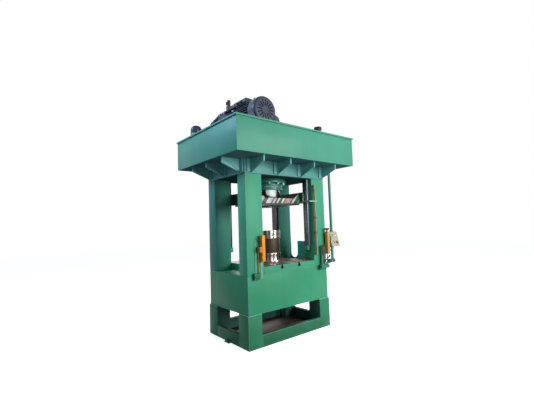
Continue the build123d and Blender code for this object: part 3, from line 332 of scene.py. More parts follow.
def cylinder(sides, radius, depth, place, rotation=(0, 0, 0)):
    """A new cylinder with its middle at a place, along Z unless it is turned."""
    return add(
        bpy.ops.mesh.primitive_cylinder_add,
        vertices=sides,
        radius=radius,
        depth=depth,
        location=place,
        rotation=rotation,
    )


def pick(piece, test):
    """Puts the piece in edit mode with only those faces selected that pass a test."""
    bpy.ops.object.mode_set(mode="EDIT")
    bpy.ops.mesh.select_mode(type="FACE")
    bpy.ops.mesh.select_all(action="DESELECT")
    bpy.ops.object.mode_set(mode="OBJECT")
    for face in piece.data.polygons:
        face.select = test(face.center, face.normal)
    bpy.ops.object.mode_set(mode="EDIT")


def ease(piece, width, steps=2, corner=35.0, finish=-1):
    """Breaks a piece's sharp edges. They keep their faces' finish, or get another by its number."""
    bevel = piece.modifiers.new("broken_edges", "BEVEL")
    bevel.width = width
    bevel.segments = steps
    bevel.limit_method = "ANGLE"
    bevel.angle_limit = radians(corner)
    bevel.material = finish
    bpy.ops.object.modifier_apply(modifier=bevel.name)
    return piece


def joined(pieces):
    """Several pieces made one, which alone stays selected."""
    bpy.ops.object.select_all(action="DESELECT")
    for piece in pieces:
        piece.select_set(True)
    bpy.context.view_layer.objects.active = pieces[0]
    if len(pieces) > 1:
        bpy.ops.object.join()
    return bpy.context.object


def set_down(pattern, turned_and_placed):
    """One copy of a pattern, with its own mesh, turned and placed."""
    copy = pattern.copy()
    copy.data = pattern.data.copy()
    bpy.context.scene.collection.objects.link(copy)
    copy.data.transform(turned_and_placed)
    return copy


def repeated(pattern, spots):
    """Copies of a pattern, each at its place and turned from +Z to its direction, made one."""
    copies = []
    for place, direction in spots:
        turn = Vector(direction).to_track_quat("Z", "Y").to_matrix().to_4x4()
        copies.append(set_down(pattern, Matrix.Translation(place) @ turn))
    return joined(copies)


def put_away(pattern):
    """Removes a pattern after its last copy."""
    bpy.data.objects.remove(pattern)


def dress(piece, name, finish, body="frame"):
    """Gives a new piece its name, its finish, its smooth faces and the body that it moves with."""
    piece.name = name
    piece.data.materials.clear()
    piece.data.materials.append(finish)
    joined([piece])
    bpy.ops.object.shade_smooth_by_angle(angle=radians(35))
    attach(piece, body)
    return piece


def slab(low, high, width):
    """A plate between two corners, its edges eased."""
    middle = [(a + b) / 2 for a, b in zip(low, high)]
    sizes = [b - a for a, b in zip(low, high)]
    return ease(add(bpy.ops.mesh.primitive_cube_add, size=1, location=middle, scale=sizes), width)


def weld(name, runs, radius, body="frame"):
    """Beads along straight runs, each a row of short overlapping cones, as an arc leaves them."""
    beads = []
    for first, last in runs:
        run = Vector(last) - Vector(first)
        count = max(2, round(run.length / (1.6 * radius)))
        step = run.length / count
        bead = add(
            bpy.ops.mesh.primitive_cone_add,
            vertices=8,
            radius1=radius,
            radius2=0.74 * radius,
            depth=step,
            location=(0, 0, step / 2),
        )
        row = bead.modifiers.new("row", "ARRAY")
        row.count = count
        row.use_relative_offset = False
        row.use_constant_offset = True
        row.constant_offset_displace = (0, 0, step)
        bpy.ops.object.modifier_apply(modifier=row.name)
        turn = run.to_track_quat("Z", "Y").to_matrix().to_4x4()
        bead.data.transform(Matrix.Translation(first) @ turn)
        beads.append(bead)
    return dress(joined(beads), name, frame_edge_highlight, body)


def hex_bolt(across):
    """A chamfered hexagon head on its washer, standing on the origin along +Z."""
    head = cylinder(6, across / 2 / cos(pi / 6), 0.60 * across, place=(0, 0, 0.40 * across))
    pick(head, lambda middle, normal: normal.z > 0.9)
    bpy.ops.mesh.inset(thickness=0.08 * across)
    bpy.ops.transform.translate(value=(0, 0, 0.05 * across))
    bpy.ops.object.mode_set(mode="OBJECT")
    washer = cylinder(20, 0.92 * across, 0.12 * across, place=(0, 0, 0.06 * across))
    return joined([head, ease(washer, 0.02 * across, 1)])


def both(value):
    """A value on either side of the middle."""
    return (-value, value)


legs = rounded("base_legs", 0.004, (shaded_plinth_green, frame_edge_highlight))
# The bottom rails are painted darker still, a painted shade.
shaded_rail_green = enamel("shaded_rail_green", (0.019, 0.134, 0.070), grime=0.20)
rails = rounded("base_rails", 0.004, (shaded_rail_green, frame_edge_highlight))
# The faces that look into the plinth are painted dark, a painted shade.
shaded_inside = enamel("shaded_inside", (0.034, 0.118, 0.100), rough=0.5, grime=0.5)
for plinth_part in (legs, rails):
    repaint(
        plinth_part,
        shaded_inside,
        lambda middle, normal: middle.x * normal.x < -0.2 or middle.y * normal.y < -0.2,
    )
# The upward faces of the legs' ledges are painted a light green, a painted highlight.
ledge_highlight = enamel("ledge_highlight", (0.210, 0.560, 0.400), rough=0.3)
ledge_top = 0.4125
repaint(legs, ledge_highlight, lambda middle, normal: middle.z > ledge_top and normal.z > 0.3)
body_x, body_y = 0.738, 0.478
leg_inner_x, leg_inner_y = 0.536, 0.270
ledge_weld_z = 0.415
ledges = []
for x in both(body_x):
    for y in both(body_y):
        corner = (x, y, ledge_weld_z)
        ledges.append((corner, (leg_inner_x * x / body_x, y, ledge_weld_z)))
        ledges.append((corner, (x, leg_inner_y * y / body_y, ledge_weld_z)))
weld("ledge_welds", ledges, 0.005)
rail_inner_y, rail_outer_y = 0.430, 0.488
rail_weld_foot, rail_top = 0.006, 0.150
rail_ends = []
for y in both(rail_inner_y):
    for x in both(leg_inner_x):
        rail_ends.append(((x, y, rail_weld_foot), (x, y, rail_top)))
        rail_ends.append(((x, y, rail_top), (x, rail_outer_y * y / rail_inner_y, rail_top)))
weld("rail_welds", rail_ends, 0.004)
up = (0, 0, 1)
lug_top = 0.016
lugs = [slab((x - 0.022, -0.075, 0), (x + 0.022, 0.035, lug_top), 0.004) for x in both(0.766)]
dress(joined(lugs), "anchor_lugs", shaded_plinth_green)
anchor_bolt = hex_bolt(0.019)
anchors = repeated(anchor_bolt, [((x, -0.020, lug_top), up) for x in both(0.770)])
dress(anchors, "anchor_bolts", shaded_plinth_green)
put_away(anchor_bolt)

# Floor plate: thin plate tacked to the bottom rails, brown with the old oil that was dragged about
# on it, and rusty where that wore off.
stained = Finish("stained_floor", Specular_Ior_Level=0.3)
drag = stained.noise(5.0, 5.0, stretch=(0.35, 2.2, 1.0), roughness=0.6)
dragged = stained.between(drag, 0.40, 0.66)
old_oil = stained.mix(dragged, (0.010, 0.007, 0.007, 1), (0.105, 0.062, 0.054, 1))
rust = stained.noise(2.6, 3.0, stretch=(0.5, 1.6, 1.0))
rusted = stained.between(rust, 0.50, 0.66) * 0.6
stained.feed("Base Color", stained.mix(rusted, old_oil, (0.135, 0.045, 0.038, 1)))
stained.feed("Roughness", 0.34 + drag * 0.4)
stained.bump(drag, 0.001, 0.4)
rounded("floor_plate", 0.001, (stained.material, stained.material))

# Bed box: thick plates welded into a box with cross ribs, open below. It carries the columns at its
# corners and the bolster between them.
# The bed is painted a darker copy of the frame green, a painted shade.
shaded_bed_green = enamel("shaded_bed_green", (0.038, 0.272, 0.146))
bed = rounded("bed_box", 0.004, (shaded_bed_green, frame_edge_highlight))
bed_rim = 0.893
repaint(bed, shaded_bed_green, lambda middle, normal: middle.z > bed_rim)

# Columns: box sections welded to the bed at the foot and to the crown at the head. The back pair is
# painted a darker, duller green, a painted shade.
shaded_back_green = enamel("shaded_back_green", (0.044, 0.232, 0.182))
column_foot, column_head = 0.910, 2.200
for column, coat in (
    ("column_front_left", frame_green),
    ("column_front_right", frame_green),
    ("column_back_left", shaded_back_green),
    ("column_back_right", shaded_back_green),
):
    shaft = rounded(column, 0.004, (coat, frame_edge_highlight))
    repaint(shaft, coat, lambda middle, normal: middle.z < column_foot or middle.z > column_head)

# Crown: a welded box over the columns, bored for the main cylinder, with beads where the columns
# meet it. Its side faces are painted a paler green, a painted highlight, and its underside a dark,
# dull green, a painted shade.
crown_green = enamel("crown_green", (0.090, 0.290, 0.268))
crown = rounded("crown", 0.004, (crown_green, frame_edge_highlight))
crown_rim, crown_side = 2.39, 0.73
repaint(crown, crown_green, lambda middle, normal: middle.z > crown_rim)
# This pale paint also goes on the crown's side faces, as a painted highlight.
gusset_and_side_highlight = enamel("gusset_and_side_highlight", (0.165, 0.470, 0.480))
repaint(
    crown,
    gusset_and_side_highlight,
    lambda middle, normal: abs(normal.x) > 0.9 and abs(middle.x) > crown_side,
)
# The downward faces are painted a dark, dull green, a painted shade.
crown_underside_shade = enamel("crown_underside_shade", (0.050, 0.135, 0.138), rough=0.75, coat=0.0, gloss=0.0)
repaint(crown, crown_underside_shade, lambda middle, normal: normal.z < -0.2)
column_x, column_y = 0.478, 0.298
head_end_x = 0.736
head_near_y, head_far_y = 0.426, 0.476
crown_floor = 2.207
heads = []
for x in both(column_x):
    for y in both(column_y):
        heads.append(((x, y, crown_floor), (head_end_x * x / column_x, y, crown_floor)))
        near_y, far_y = head_near_y * y / column_y, head_far_y * y / column_y
        heads.append(((x, near_y, crown_floor), (x, far_y, crown_floor)))
weld("column_head_welds", heads, 0.005)

# Gussets: plate fins, fillet-welded along both sides to the crown and under the tank's floor.
# Beside each root an upright pad stiffens the crown's wall.
for side in ("front", "back", "left", "right"):
    rounded("gussets_" + side, 0.003, (gusset_and_side_highlight, frame_edge_highlight))
front_fins = (-0.642, -0.19267, 0.25667, 0.706)
side_fins = (-0.380, 0.020, 0.420)
half_fin = 0.010
fin_end_x, fin_end_y = 1.018, 0.758
fin_foot, fin_head, fin_top = 2.224, 2.398, 2.400
roots = []
for offset in both(half_fin):
    for y in both(body_y):
        end_y = fin_end_y * y / body_y
        for fin in front_fins:
            x = fin + offset
            roots.append(((x, y, fin_foot), (x, y, fin_head)))
            roots.append(((x, y, fin_top), (x, end_y, fin_top)))
    for x in both(body_x):
        end_x = fin_end_x * x / body_x
        for fin in side_fins:
            y = fin + offset
            roots.append(((x, y, fin_foot), (x, y, fin_head)))
            roots.append(((x, y, fin_top), (end_x, y, fin_top)))
weld("gusset_welds", roots, 0.0045)

# Oil tank: sheet box with welded corners and floor, under a flat lid whose rim turns down past the
# walls and is held by a row of small bolts.
tank_green = enamel("tank_green", (0.055, 0.278, 0.196), rough=0.36, coat=0.05, gloss=0.16)
# A lighter copy of the tank paint goes on its broken edges, a painted highlight.
tank_edge_highlight = enamel("tank_edge_highlight", (0.100, 0.380, 0.280), edge=0.01, rough=0.30, coat=0.1)
tank = rounded("oil_tank", 0.003, (tank_green, tank_edge_highlight))
# The tank's downward faces are painted a dull blue-green, a painted shade.
tank_floor_shade = enamel("tank_floor_shade", (0.100, 0.230, 0.255), rough=0.75, coat=0.0, gloss=0.0)
repaint(tank, tank_floor_shade, lambda middle, normal: normal.z < -0.5)
rounded("tank_lid", 0.002, (tank_green, tank_edge_highlight))
wall_x, wall_y = 1.0695, 0.8095
wall_foot, wall_head = 2.404, 2.810
corners = [((x, y, wall_foot), (x, y, wall_head)) for x in both(wall_x) for y in both(wall_y)]
weld("tank_corner_welds", corners, 0.003)


def machined(name, colour, rough, streak=(1.0, 1.0, 1.0), spots=0.0):
    """Bare machined steel: fine tool marks along one direction, and stains where oil stands."""
    steel = Finish(name, Metallic=1.0)
    marks = steel.noise(90.0, 3.0, stretch=streak)
    patch = steel.noise(9.0, 4.0, roughness=0.6)
    soiled = steel.between(patch, 0.5, 0.7) * spots
    clean = steel.mix(marks, shade(colour, 0.75), shade(colour))
    steel.feed("Base Color", steel.mix(soiled, clean, (0.06, 0.036, 0.024, 1)))
    steel.feed("Roughness", rough + marks * 0.14 + soiled * 0.3)
    steel.bump(marks, 0.0003, 0.4)
    return steel.material


bolt_steel = machined("bolt_steel", (0.36, 0.38, 0.38), 0.30)
lid_bolt = hex_bolt(0.013)
lid_top = 2.833
row_x, row_y = 1.050, 0.600
lid_spots = [((-row_x + 0.210 * i, y, lid_top), up) for i in range(11) for y in both(0.800)]
lid_spots += [((x, -row_y + 0.200 * i, lid_top), up) for i in range(7) for x in both(1.060)]
dress(repeated(lid_bolt, lid_spots), "lid_bolts", bolt_steel)


# Main cylinder: a turned barrel whose flange bolts up to the crown with twelve bolts. The gland
# below is painted with it, and a bare wiper ring shows in its groove.
def bolt_circle(radius, height, direction, start=0.0):
    """Twelve spots round the press's axis at one height."""
    angles = [(i + start) * pi / 6 for i in range(12)]
    return [((radius * cos(angle), radius * sin(angle), height), direction) for angle in angles]


def wire_ring(radius, wire, steps, sides, place, rotation=(0, 0, 0)):
    """A new ring of round wire, with so many steps round and so many sides to the wire."""
    return add(
        bpy.ops.mesh.primitive_torus_add,
        major_radius=radius,
        minor_radius=wire,
        major_segments=steps,
        minor_segments=sides,
        location=place,
        rotation=rotation,
    )


gland_green = enamel("gland_green", (0.012, 0.135, 0.122), rough=0.26, coat=0.12, gloss=0.18)
for turned in ("cylinder_barrel", "cylinder_gland", "cylinder_cap"):
    rounded(turned, 0.002, (gland_green, frame_edge_highlight))
down = (0, 0, -1)
flange_bolt = hex_bolt(0.030)
flange_bolts = repeated(flange_bolt, bolt_circle(radius=0.2605, height=2.150, direction=down))
dress(flange_bolts, "flange_bolts", bolt_steel)
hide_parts("cylinder_bolts")
put_away(flange_bolt)
wiper = wire_ring(0.2315, 0.0045, steps=96, sides=10, place=(0, 0, 2.094))
wiper_steel = machined("wiper_steel", (0.55, 0.57, 0.56), 0.2)
dress(wiper, "wiper_ring", wiper_steel)

# Ram: hard-chromed and ground, wiped by the gland, with a film of oil that dulls it.
chrome = Finish("chrome", Metallic=1.0)
draw = chrome.noise(30.0, 3.0, stretch=(1.0, 1.0, 0.12))
film = chrome.noise(5.0, 3.0, stretch=(1.0, 1.0, 0.3))
chrome.feed("Base Color", chrome.mix(draw, (0.24, 0.27, 0.28, 1), (0.40, 0.43, 0.44, 1)))
chrome.feed("Roughness", 0.10 + draw * 0.08 + film * 0.10)
rounded("ram", 0.003, (chrome.material, chrome.material), body="slide")

# Slide: a dark welded frame with slanting warning stripes along its front edge. The stripes are
# worn, rubbed pink and rusty in the middle, and the right-hand end has been painted over in green.
slide_dark = Finish("slide_dark", Coat_Weight=0.1, Specular_Ior_Level=0.3)
stripe_foot, stripe_lean, stripe_fade = 1.841, 0.78, 0.004
across = slide_dark.axis("X")
slant = across - (slide_dark.axis("Z") - stripe_foot) * stripe_lean
bands = 0.0
for left, right in (
    (-0.40, -0.345), (-0.275, -0.178), (-0.160, -0.112), (-0.085, -0.044),
    (0.0, 0.046), (0.060, 0.185), (0.205, 0.255), (0.330, 0.352),
):
    begun = slide_dark.between(slant, left, left + stripe_fade)
    ended = slide_dark.between(slant, right - stripe_fade, right)
    bands = begun * (1 - ended) + bands
board_face = -0.2985
front_only = slide_dark.axis("Y") < board_face
wear = slide_dark.noise(14.0, 5.0, roughness=0.65)
worn = slide_dark.between(wear, 0.42, 0.62)
stripe_paint = slide_dark.mix(worn, (0.30, 0.31, 0.31, 1), (0.56, 0.58, 0.57, 1))
rust_middle = 0.122
near_rust = 1 - slide_dark.between((slant - rust_middle).size(), 0.055, 0.072)
rusty = near_rust * slide_dark.between(wear, 0.30, 0.60) * 0.9
stripe_paint = slide_dark.mix(rusty, stripe_paint, (0.30, 0.115, 0.085, 1))
greened = slide_dark.between(across, 0.28, 0.33)
stripe_paint = slide_dark.mix(greened * 0.8, stripe_paint, (0.33, 0.50, 0.30, 1))
dark = slide_dark.mix(wear, (0.012, 0.015, 0.015, 1), (0.040, 0.044, 0.042, 1))
dark = slide_dark.mix(greened * front_only * 0.8, dark, (0.020, 0.085, 0.060, 1))
slide_dark.feed("Base Color", slide_dark.mix(bands * front_only, dark, stripe_paint))
slide_dark.feed("Roughness", 0.40 + wear * 0.2)
slide_edge = machined("slide_edge", (0.11, 0.11, 0.105), 0.40)
for plate in ("slide_frame", "upper_platen", "ram_flange"):
    rounded(plate, 0.002, (slide_dark.material, slide_edge), body="slide")
web_foot, web_head = 1.872, 1.990
webs = [((x, y, web_foot), (x, y, web_head)) for x in both(0.405) for y in both(0.280)]
weld("slide_welds", webs, 0.005, "slide")


def socket_screw(across):
    """A round screw head with a sunk socket, standing on the origin along +Z."""
    head = cylinder(18, across / 2, 0.34 * across, place=(0, 0, 0.17 * across))
    ease(head, 0.06 * across, 1)
    pick(head, lambda middle, normal: normal.z > 0.99)
    bpy.ops.mesh.inset(thickness=0.18 * across)
    bpy.ops.mesh.extrude_region_move(TRANSFORM_OT_translate={"value": (0, 0, -0.22 * across)})
    bpy.ops.object.mode_set(mode="OBJECT")
    return head


flange_screw = socket_screw(0.026)
ram_spots = bolt_circle(radius=0.213, height=1.917, direction=up, start=0.5)
dress(repeated(flange_screw, ram_spots), "ram_flange_screws", bolt_steel, "slide")
put_away(flange_screw)

# Guide shoes: bronze-faced blocks screwed to the slide's corners, each round its rail's inner edge.
# The ground punch hangs below the slide, and an arm that strikes the switches stands out from it.
bronze = machined("bronze", (0.26, 0.20, 0.11), 0.34, spots=0.4)
shoes = rounded("guide_shoes", 0.002, (bronze, slide_edge), body="slide")
shoe_paint = Finish("shoe_paint", Specular_Ior_Level=0.2)
mark_lean = 0.30
shoe_slant = shoe_paint.axis("X") - (shoe_paint.axis("Z") - stripe_foot) * mark_lean
mark_ended = shoe_paint.between(shoe_slant, 0.400, 0.403)
mark = shoe_paint.between(shoe_slant, 0.383, 0.386) * (1 - mark_ended)
rubbed = shoe_paint.noise(30.0, 4.0)
deep = shoe_paint.mix(rubbed, (0.010, 0.030, 0.026, 1), (0.036, 0.085, 0.062, 1))
shoe_paint.feed("Base Color", shoe_paint.mix(mark * 0.85, deep, (0.330, 0.480, 0.290, 1)))
shoe_paint.feed("Roughness", 0.38 + rubbed * 0.2)
bronze_from = 0.40
repaint(
    shoes,
    shoe_paint.material,
    lambda middle, normal: normal.y < -0.8 or abs(normal.x) > 0.8 and abs(middle.x) < bronze_from,
)
shoe_screw = socket_screw(0.018)
shoe_x, shoe_y = 0.4117, 0.360
shoe_heights = (1.871, 1.925, 1.980)
shoe_spots = [
    ((x, y, z), (0, y, 0)) for x in both(shoe_x) for y in both(shoe_y) for z in shoe_heights
]
dress(repeated(shoe_screw, shoe_spots), "shoe_screws", bolt_steel, "slide")
put_away(shoe_screw)
punch_steel = machined("punch_steel", (0.10, 0.105, 0.12), 0.26, spots=0.5)
rounded("upper_punch", 0.001, (punch_steel, punch_steel), body="slide")
arm_paint = enamel("arm_paint", (0.230, 0.400, 0.310), rough=0.4)
rounded("striker_arm", 0.0015, (arm_paint, arm_paint), body="slide")

# Guide rails: ground bars screwed to the inner sides of the columns, on foot blocks. Their faces
# are steel blue where the shoes run, and brown with old grease beside them. The back pair is dark
# brown all over, a painted shade.
rail_steel = Finish("rail_steel", Metallic=0.85)
ground = rail_steel.noise(70.0, 3.0, stretch=(1, 1, 0.03))
facing = rail_steel.axis("Y").size()
shoe_path = rail_steel.between(facing, 0.354, 0.368)
# Beside the shoe path this is old grease; on the back rails it covers the whole face, a painted
# shade.
grease_and_shade = (1 - shoe_path).larger(rail_steel.axis("Y") > 0)
smear = rail_steel.noise(6.0, 4.0, stretch=(1.0, 1.0, 0.25))
bare = rail_steel.mix(ground, (0.085, 0.125, 0.150, 1), (0.160, 0.215, 0.250, 1))
grease = rail_steel.mix(smear, (0.030, 0.020, 0.027, 1), (0.080, 0.052, 0.060, 1))
rail_steel.feed("Base Color", rail_steel.mix(grease_and_shade * 0.9, bare, grease))
rail_steel.feed("Roughness", 0.24 + ground * 0.12 + smear * 0.15)
rounded("guide_rails", 0.002, (rail_steel.material, punch_steel))
rail_screw = socket_screw(0.016)
lowest_screw, screw_pitch = 1.26, 0.15
rail_spots = [
    ((x, y, lowest_screw + screw_pitch * i), (-x, 0, 0))
    for x in both(0.432)
    for y in both(0.398)
    for i in range(7)
]
dress(repeated(rail_screw, rail_spots), "rail_screws", bolt_steel)
put_away(rail_screw)
foot_green = enamel("foot_green", (0.055, 0.290, 0.220), rough=0.3)
rounded("rail_feet", 0.003, (foot_green, frame_edge_highlight))
foot_screw = socket_screw(0.020)
foot_x, foot_y = 0.426, 0.3575
foot_spots = [
    ((x, y, z), (-x, 0, 0)) for x in both(foot_x) for y in both(foot_y) for z in (1.164, 1.188)
]
dress(repeated(foot_screw, foot_spots), "foot_screws", bolt_steel)
put_away(foot_screw)

# Bolster: a machined plate, its top bare and brown with oil, its two ends painted with the bed. Two
# T-slots run through it from front to back, and its seam with the bed is filled and painted.
oiled = Finish("oiled_plate")
top_from = 0.9905
top_face = oiled.axis("Z") > top_from
soak = oiled.noise(5.0, 5.0, roughness=0.6)
soaked = oiled.between(soak, 0.35, 0.65)
oil_brown = oiled.mix(soaked, (0.120, 0.060, 0.038, 1), (0.26, 0.175, 0.125, 1))
oiled.feed("Base Color", oiled.mix(top_face, (0.055, 0.305, 0.182, 1), oil_brown))
oiled.feed("Metallic", top_face * 0.5)
oiled.feed("Roughness", 0.34 + soak * 0.12)
oiled.bump(oiled.noise(120.0, 2.0, stretch=(1.0, 0.05, 1.0)), 0.0003, 0.4)
bolster = rounded("bolster", 0.003, (oiled.material, frame_edge_highlight))
foot_to, end_from = 0.906, 0.4765
repaint(
    bolster,
    frame_green,
    lambda middle, normal: middle.z < foot_to or abs(middle.y) > end_from and normal.z < 0.6,
)
filled_seam = slab((-0.476, -0.4783, 0.894), (0.476, -0.4740, 0.909), 0.0006)
dress(filled_seam, "filled_seam", frame_green)
slot_dark = machined("slot_dark", (0.05, 0.045, 0.04), 0.5)
slot_x, slot_reach, slot_from = 0.16, 0.0235, 0.940
repaint(
    bolster,
    slot_dark,
    lambda middle, normal: abs(abs(middle.x) - slot_x) < slot_reach
    and slot_from < middle.z < top_from,
)

# Round tool: rings turned from bright steel above and below a dark oiled body. The rings' lands are
# painted bright at the front, a painted highlight, with soot and oil between them.
ring_steel = Finish("ring_steel", Metallic=1.0)
land_pitch = pi / 9
angle = ring_steel.maths("ARCTAN2", ring_steel.axis("Y"), ring_steel.axis("X"))
on_land = (angle / land_pitch + 0.20).fraction()
land = ring_steel.between(on_land, 0.16, 0.26) * (1 - ring_steel.between(on_land, 0.66, 0.76))
# Only the front-facing part of each ring gets the bright lands, a painted highlight.
front_highlight = 0.25 + 0.75 * ring_steel.between(0 - ring_steel.axis("Y"), 0.10, 0.16)
turning = ring_steel.noise(120.0, 3.0, stretch=(0.02, 0.02, 1.0))
soot = ring_steel.noise(22.0, 4.0, roughness=0.6)
dull = ring_steel.mix(soot, (0.030, 0.022, 0.018, 1), (0.095, 0.070, 0.060, 1))
bright = ring_steel.mix(turning, (0.38, 0.34, 0.33, 1), (0.64, 0.60, 0.58, 1))
highlighted_land = land * front_highlight * ring_steel.between(soot, 0.34, 0.46)
ring_steel.feed("Base Color", ring_steel.mix(highlighted_land, dull, bright))
ring_steel.feed("Roughness", 0.34 - highlighted_land * 0.14 + turning * 0.08)
for ring in ("tool_lower_ring", "tool_upper_ring"):
    rounded(ring, 0.003, (ring_steel.material, bolt_steel))
tool_brown = Finish("tool_brown", Metallic=0.3, Specular_Ior_Level=0.2)
cast = tool_brown.noise(26.0, 5.0, roughness=0.6)
wash = tool_brown.noise(7.0, 3.0, stretch=(1, 1, 0.25))
oily = tool_brown.mix(wash, (0.021, 0.014, 0.007, 1), (0.050, 0.034, 0.018, 1))
tool_brown.feed("Base Color", oily)
tool_brown.feed("Roughness", 0.34 + cast * 0.22)
tool_brown.bump(cast, 0.0006, 0.4)
rounded("tool_body", 0.002, (tool_brown.material, slide_edge))

# Guard plate between the right-hand columns: cut plate in frame paint with a U slot, tacked to the
# columns' edges.
rounded("side_guard", 0.002, (frame_green, frame_edge_highlight))
guard_x, guard_foot, guard_head = 0.727, 0.904, 1.248
tacks = [((guard_x, y, guard_foot), (guard_x, y, guard_head)) for y in both(0.297)]
weld("guard_welds", tacks, 0.004)


# Light curtain bars: extruded housings in safety orange with end caps, an amber window along the
# face that looks across the opening, and a moulded plug on the outer side. The right one has a
# capped neck.
def moulded(name, colour, rough, coat=0.0, soil=0.0):
    """Moulded plastic or thick coating: an even colour, a faint grain, and soil where hands touch
    it.
    """
    skin = Finish(name, Coat_Weight=coat, Coat_Roughness=0.1, Specular_Ior_Level=0.22)
    cloud = skin.noise(18.0, 4.0)
    base = skin.mix(cloud, shade(colour, 0.86), shade(colour))
    dirt = skin.between(skin.noise(30.0, 5.0, roughness=0.65), 0.50, 0.72) * soil
    skin.feed("Base Color", skin.mix(dirt, base, shade(colour, 0.45)))
    skin.feed("Roughness", rough + cloud * 0.12)
    skin.bump(skin.noise(700.0, 1.0), 0.0004, 0.3)
    return skin.material


safety_orange = moulded("safety_orange", (0.78, 0.285, 0.012), 0.40, soil=0.25)
cream = moulded("cream_front", (0.52, 0.30, 0.17), 0.42, soil=0.3)
black = moulded("black", (0.024, 0.024, 0.026), 0.42)
brown_plug = moulded("brown_plug", (0.115, 0.075, 0.055), 0.40)
tan_plug = moulded("tan_plug", (0.50, 0.200, 0.030), 0.40, soil=0.4)
right_bar_from, right_plug_from, left_plug_to = 0.69, 0.7475, -0.5555
neck_foot, neck_cap = 1.4035, 1.4325
bars = rounded("light_curtains", 0.001, (safety_orange, safety_orange))
repaint(bars, cream, lambda middle, normal: middle.x > right_bar_from and normal.y < -0.6)
repaint(bars, brown_plug, lambda middle, normal: middle.x > right_plug_from)
repaint(bars, tan_plug, lambda middle, normal: middle.x < left_plug_to)
repaint(bars, cream, lambda middle, normal: neck_foot < middle.z < neck_cap)
repaint(bars, black, lambda middle, normal: middle.z > neck_cap)
amber_window = moulded("amber_window", (0.96, 0.430, 0.035), 0.12, coat=0.6)
windows = [
    slab((-0.5055, -0.548, 1.092), (-0.5045, -0.512, 1.386), 0.0004),
    slab((0.6965, -0.548, 1.092), (0.6975, -0.512, 1.386), 0.0004),
]
dress(joined(windows), "bar_windows", amber_window)
left_bar_x, right_bar_x, bar_y = -0.530, 0.722, -0.530
end_caps = [
    slab((x - 0.0256, -0.5606, z), (x + 0.0256, -0.4994, z + 0.012), 0.006)
    for x, z in ((left_bar_x, 1.0730), (left_bar_x, 1.3914), (right_bar_x, 1.0730))
]
dress(joined(end_caps), "bar_end_caps", safety_orange)
dark_rod = machined("dark_rod", (0.11, 0.09, 0.07), 0.34, streak=(1, 1, 0.1))
bracket_face = -0.505
brackets = rounded("curtain_brackets", 0.001, (dark_rod, dark_rod))
repaint(brackets, tan_plug, lambda middle, normal: middle.x < 0 and middle.y < bracket_face)
clamp_screw = socket_screw(0.013)
clamp_spots = [((x, bar_y, z), (x, 0, 0)) for x in (-0.563, 0.755) for z in (1.126, 1.350)]
dress(repeated(clamp_screw, clamp_spots), "bracket_screws", bolt_steel)
put_away(clamp_screw)

# Leads of the bars: a steel conduit runs up from a junction block on the bed, in front of a plate
# on the column, and a short strip stands beside it. The right bar's lead goes straight down to the
# shelf.
junction_green = enamel("junction_green", (0.018, 0.130, 0.085), rough=0.4)
conduit_tan = moulded("conduit_tan", (0.42, 0.20, 0.085), 0.36, soil=0.3)
strip_green = enamel("strip_green", (0.120, 0.400, 0.270), rough=0.32)
block_to, block_top, backing_to, strip_from = -0.56, 0.9285, -0.487, -0.545
leads = rounded("curtain_conduit", 0.001, (frame_green, frame_green))
repaint(leads, junction_green, lambda middle, normal: middle.x < block_to and middle.z < block_top)
repaint(
    leads,
    conduit_tan,
    lambda middle, normal: middle.x < block_to and middle.z > block_top and middle.y < backing_to,
)
repaint(leads, strip_green, lambda middle, normal: strip_from < middle.x < 0)
repaint(leads, black, lambda middle, normal: middle.x > 0)
junction_face = -0.525
junction_lid = slab((-0.658, junction_face, 0.855), (-0.572, -0.5215, 0.923), 0.001)
dress(junction_lid, "junction_lid", junction_green)
small_screw = socket_screw(0.008)
forward = (0, -1, 0)
lid_corners = [((x, junction_face, z), forward) for x in (-0.652, -0.578) for z in (0.861, 0.917)]
dress(repeated(small_screw, lid_corners), "junction_screws", bolt_steel)
gland_nut = hex_bolt(0.014)
gland_spots = [
    ((-0.575, -0.500, 0.928), up),
    ((-0.575, -0.500, 1.191), down),
    ((0.705, bar_y, 0.913), up),
]
dress(repeated(gland_nut, gland_spots), "gland_nuts", dark_rod)
put_away(gland_nut)

# Stroke rail: a thin angle with a rod beside it, both clamped to the front right column, and two
# roller switches that the slide's striker arm passes.
rail_beige = moulded("rail_beige", (0.42, 0.37, 0.27), 0.40, soil=0.8)
rounded("stroke_rail", 0.0008, (rail_beige, rail_beige))
rounded("stroke_rod", 0.001, (dark_rod, dark_rod))
rod_stop = wire_ring(0.0095, 0.004, steps=24, sides=8, place=(0, 0, 0))
rod_spots = [((0.490, -0.500, z), up) for z in (1.15, 1.392, 1.398, 1.620, 1.626, 2.02)]
dress(repeated(rod_stop, rod_spots), "rod_stops", black)
put_away(rod_stop)
rail_fixings = [((0.536, -0.482, z), forward) for z in (1.12, 1.50, 1.78, 2.06)]
dress(repeated(small_screw, rail_fixings), "rail_fixings", dark_rod)
rounded("limit_switches", 0.0015, (black, black))
pale_steel = machined("pale_steel", (0.50, 0.52, 0.50), 0.34)
switches = (1.392, 1.620)
switch_bits = [((0.523, -0.502, z + dz), forward) for z in switches for dz in both(0.018)]
dress(repeated(small_screw, switch_bits), "switch_screws", pale_steel)

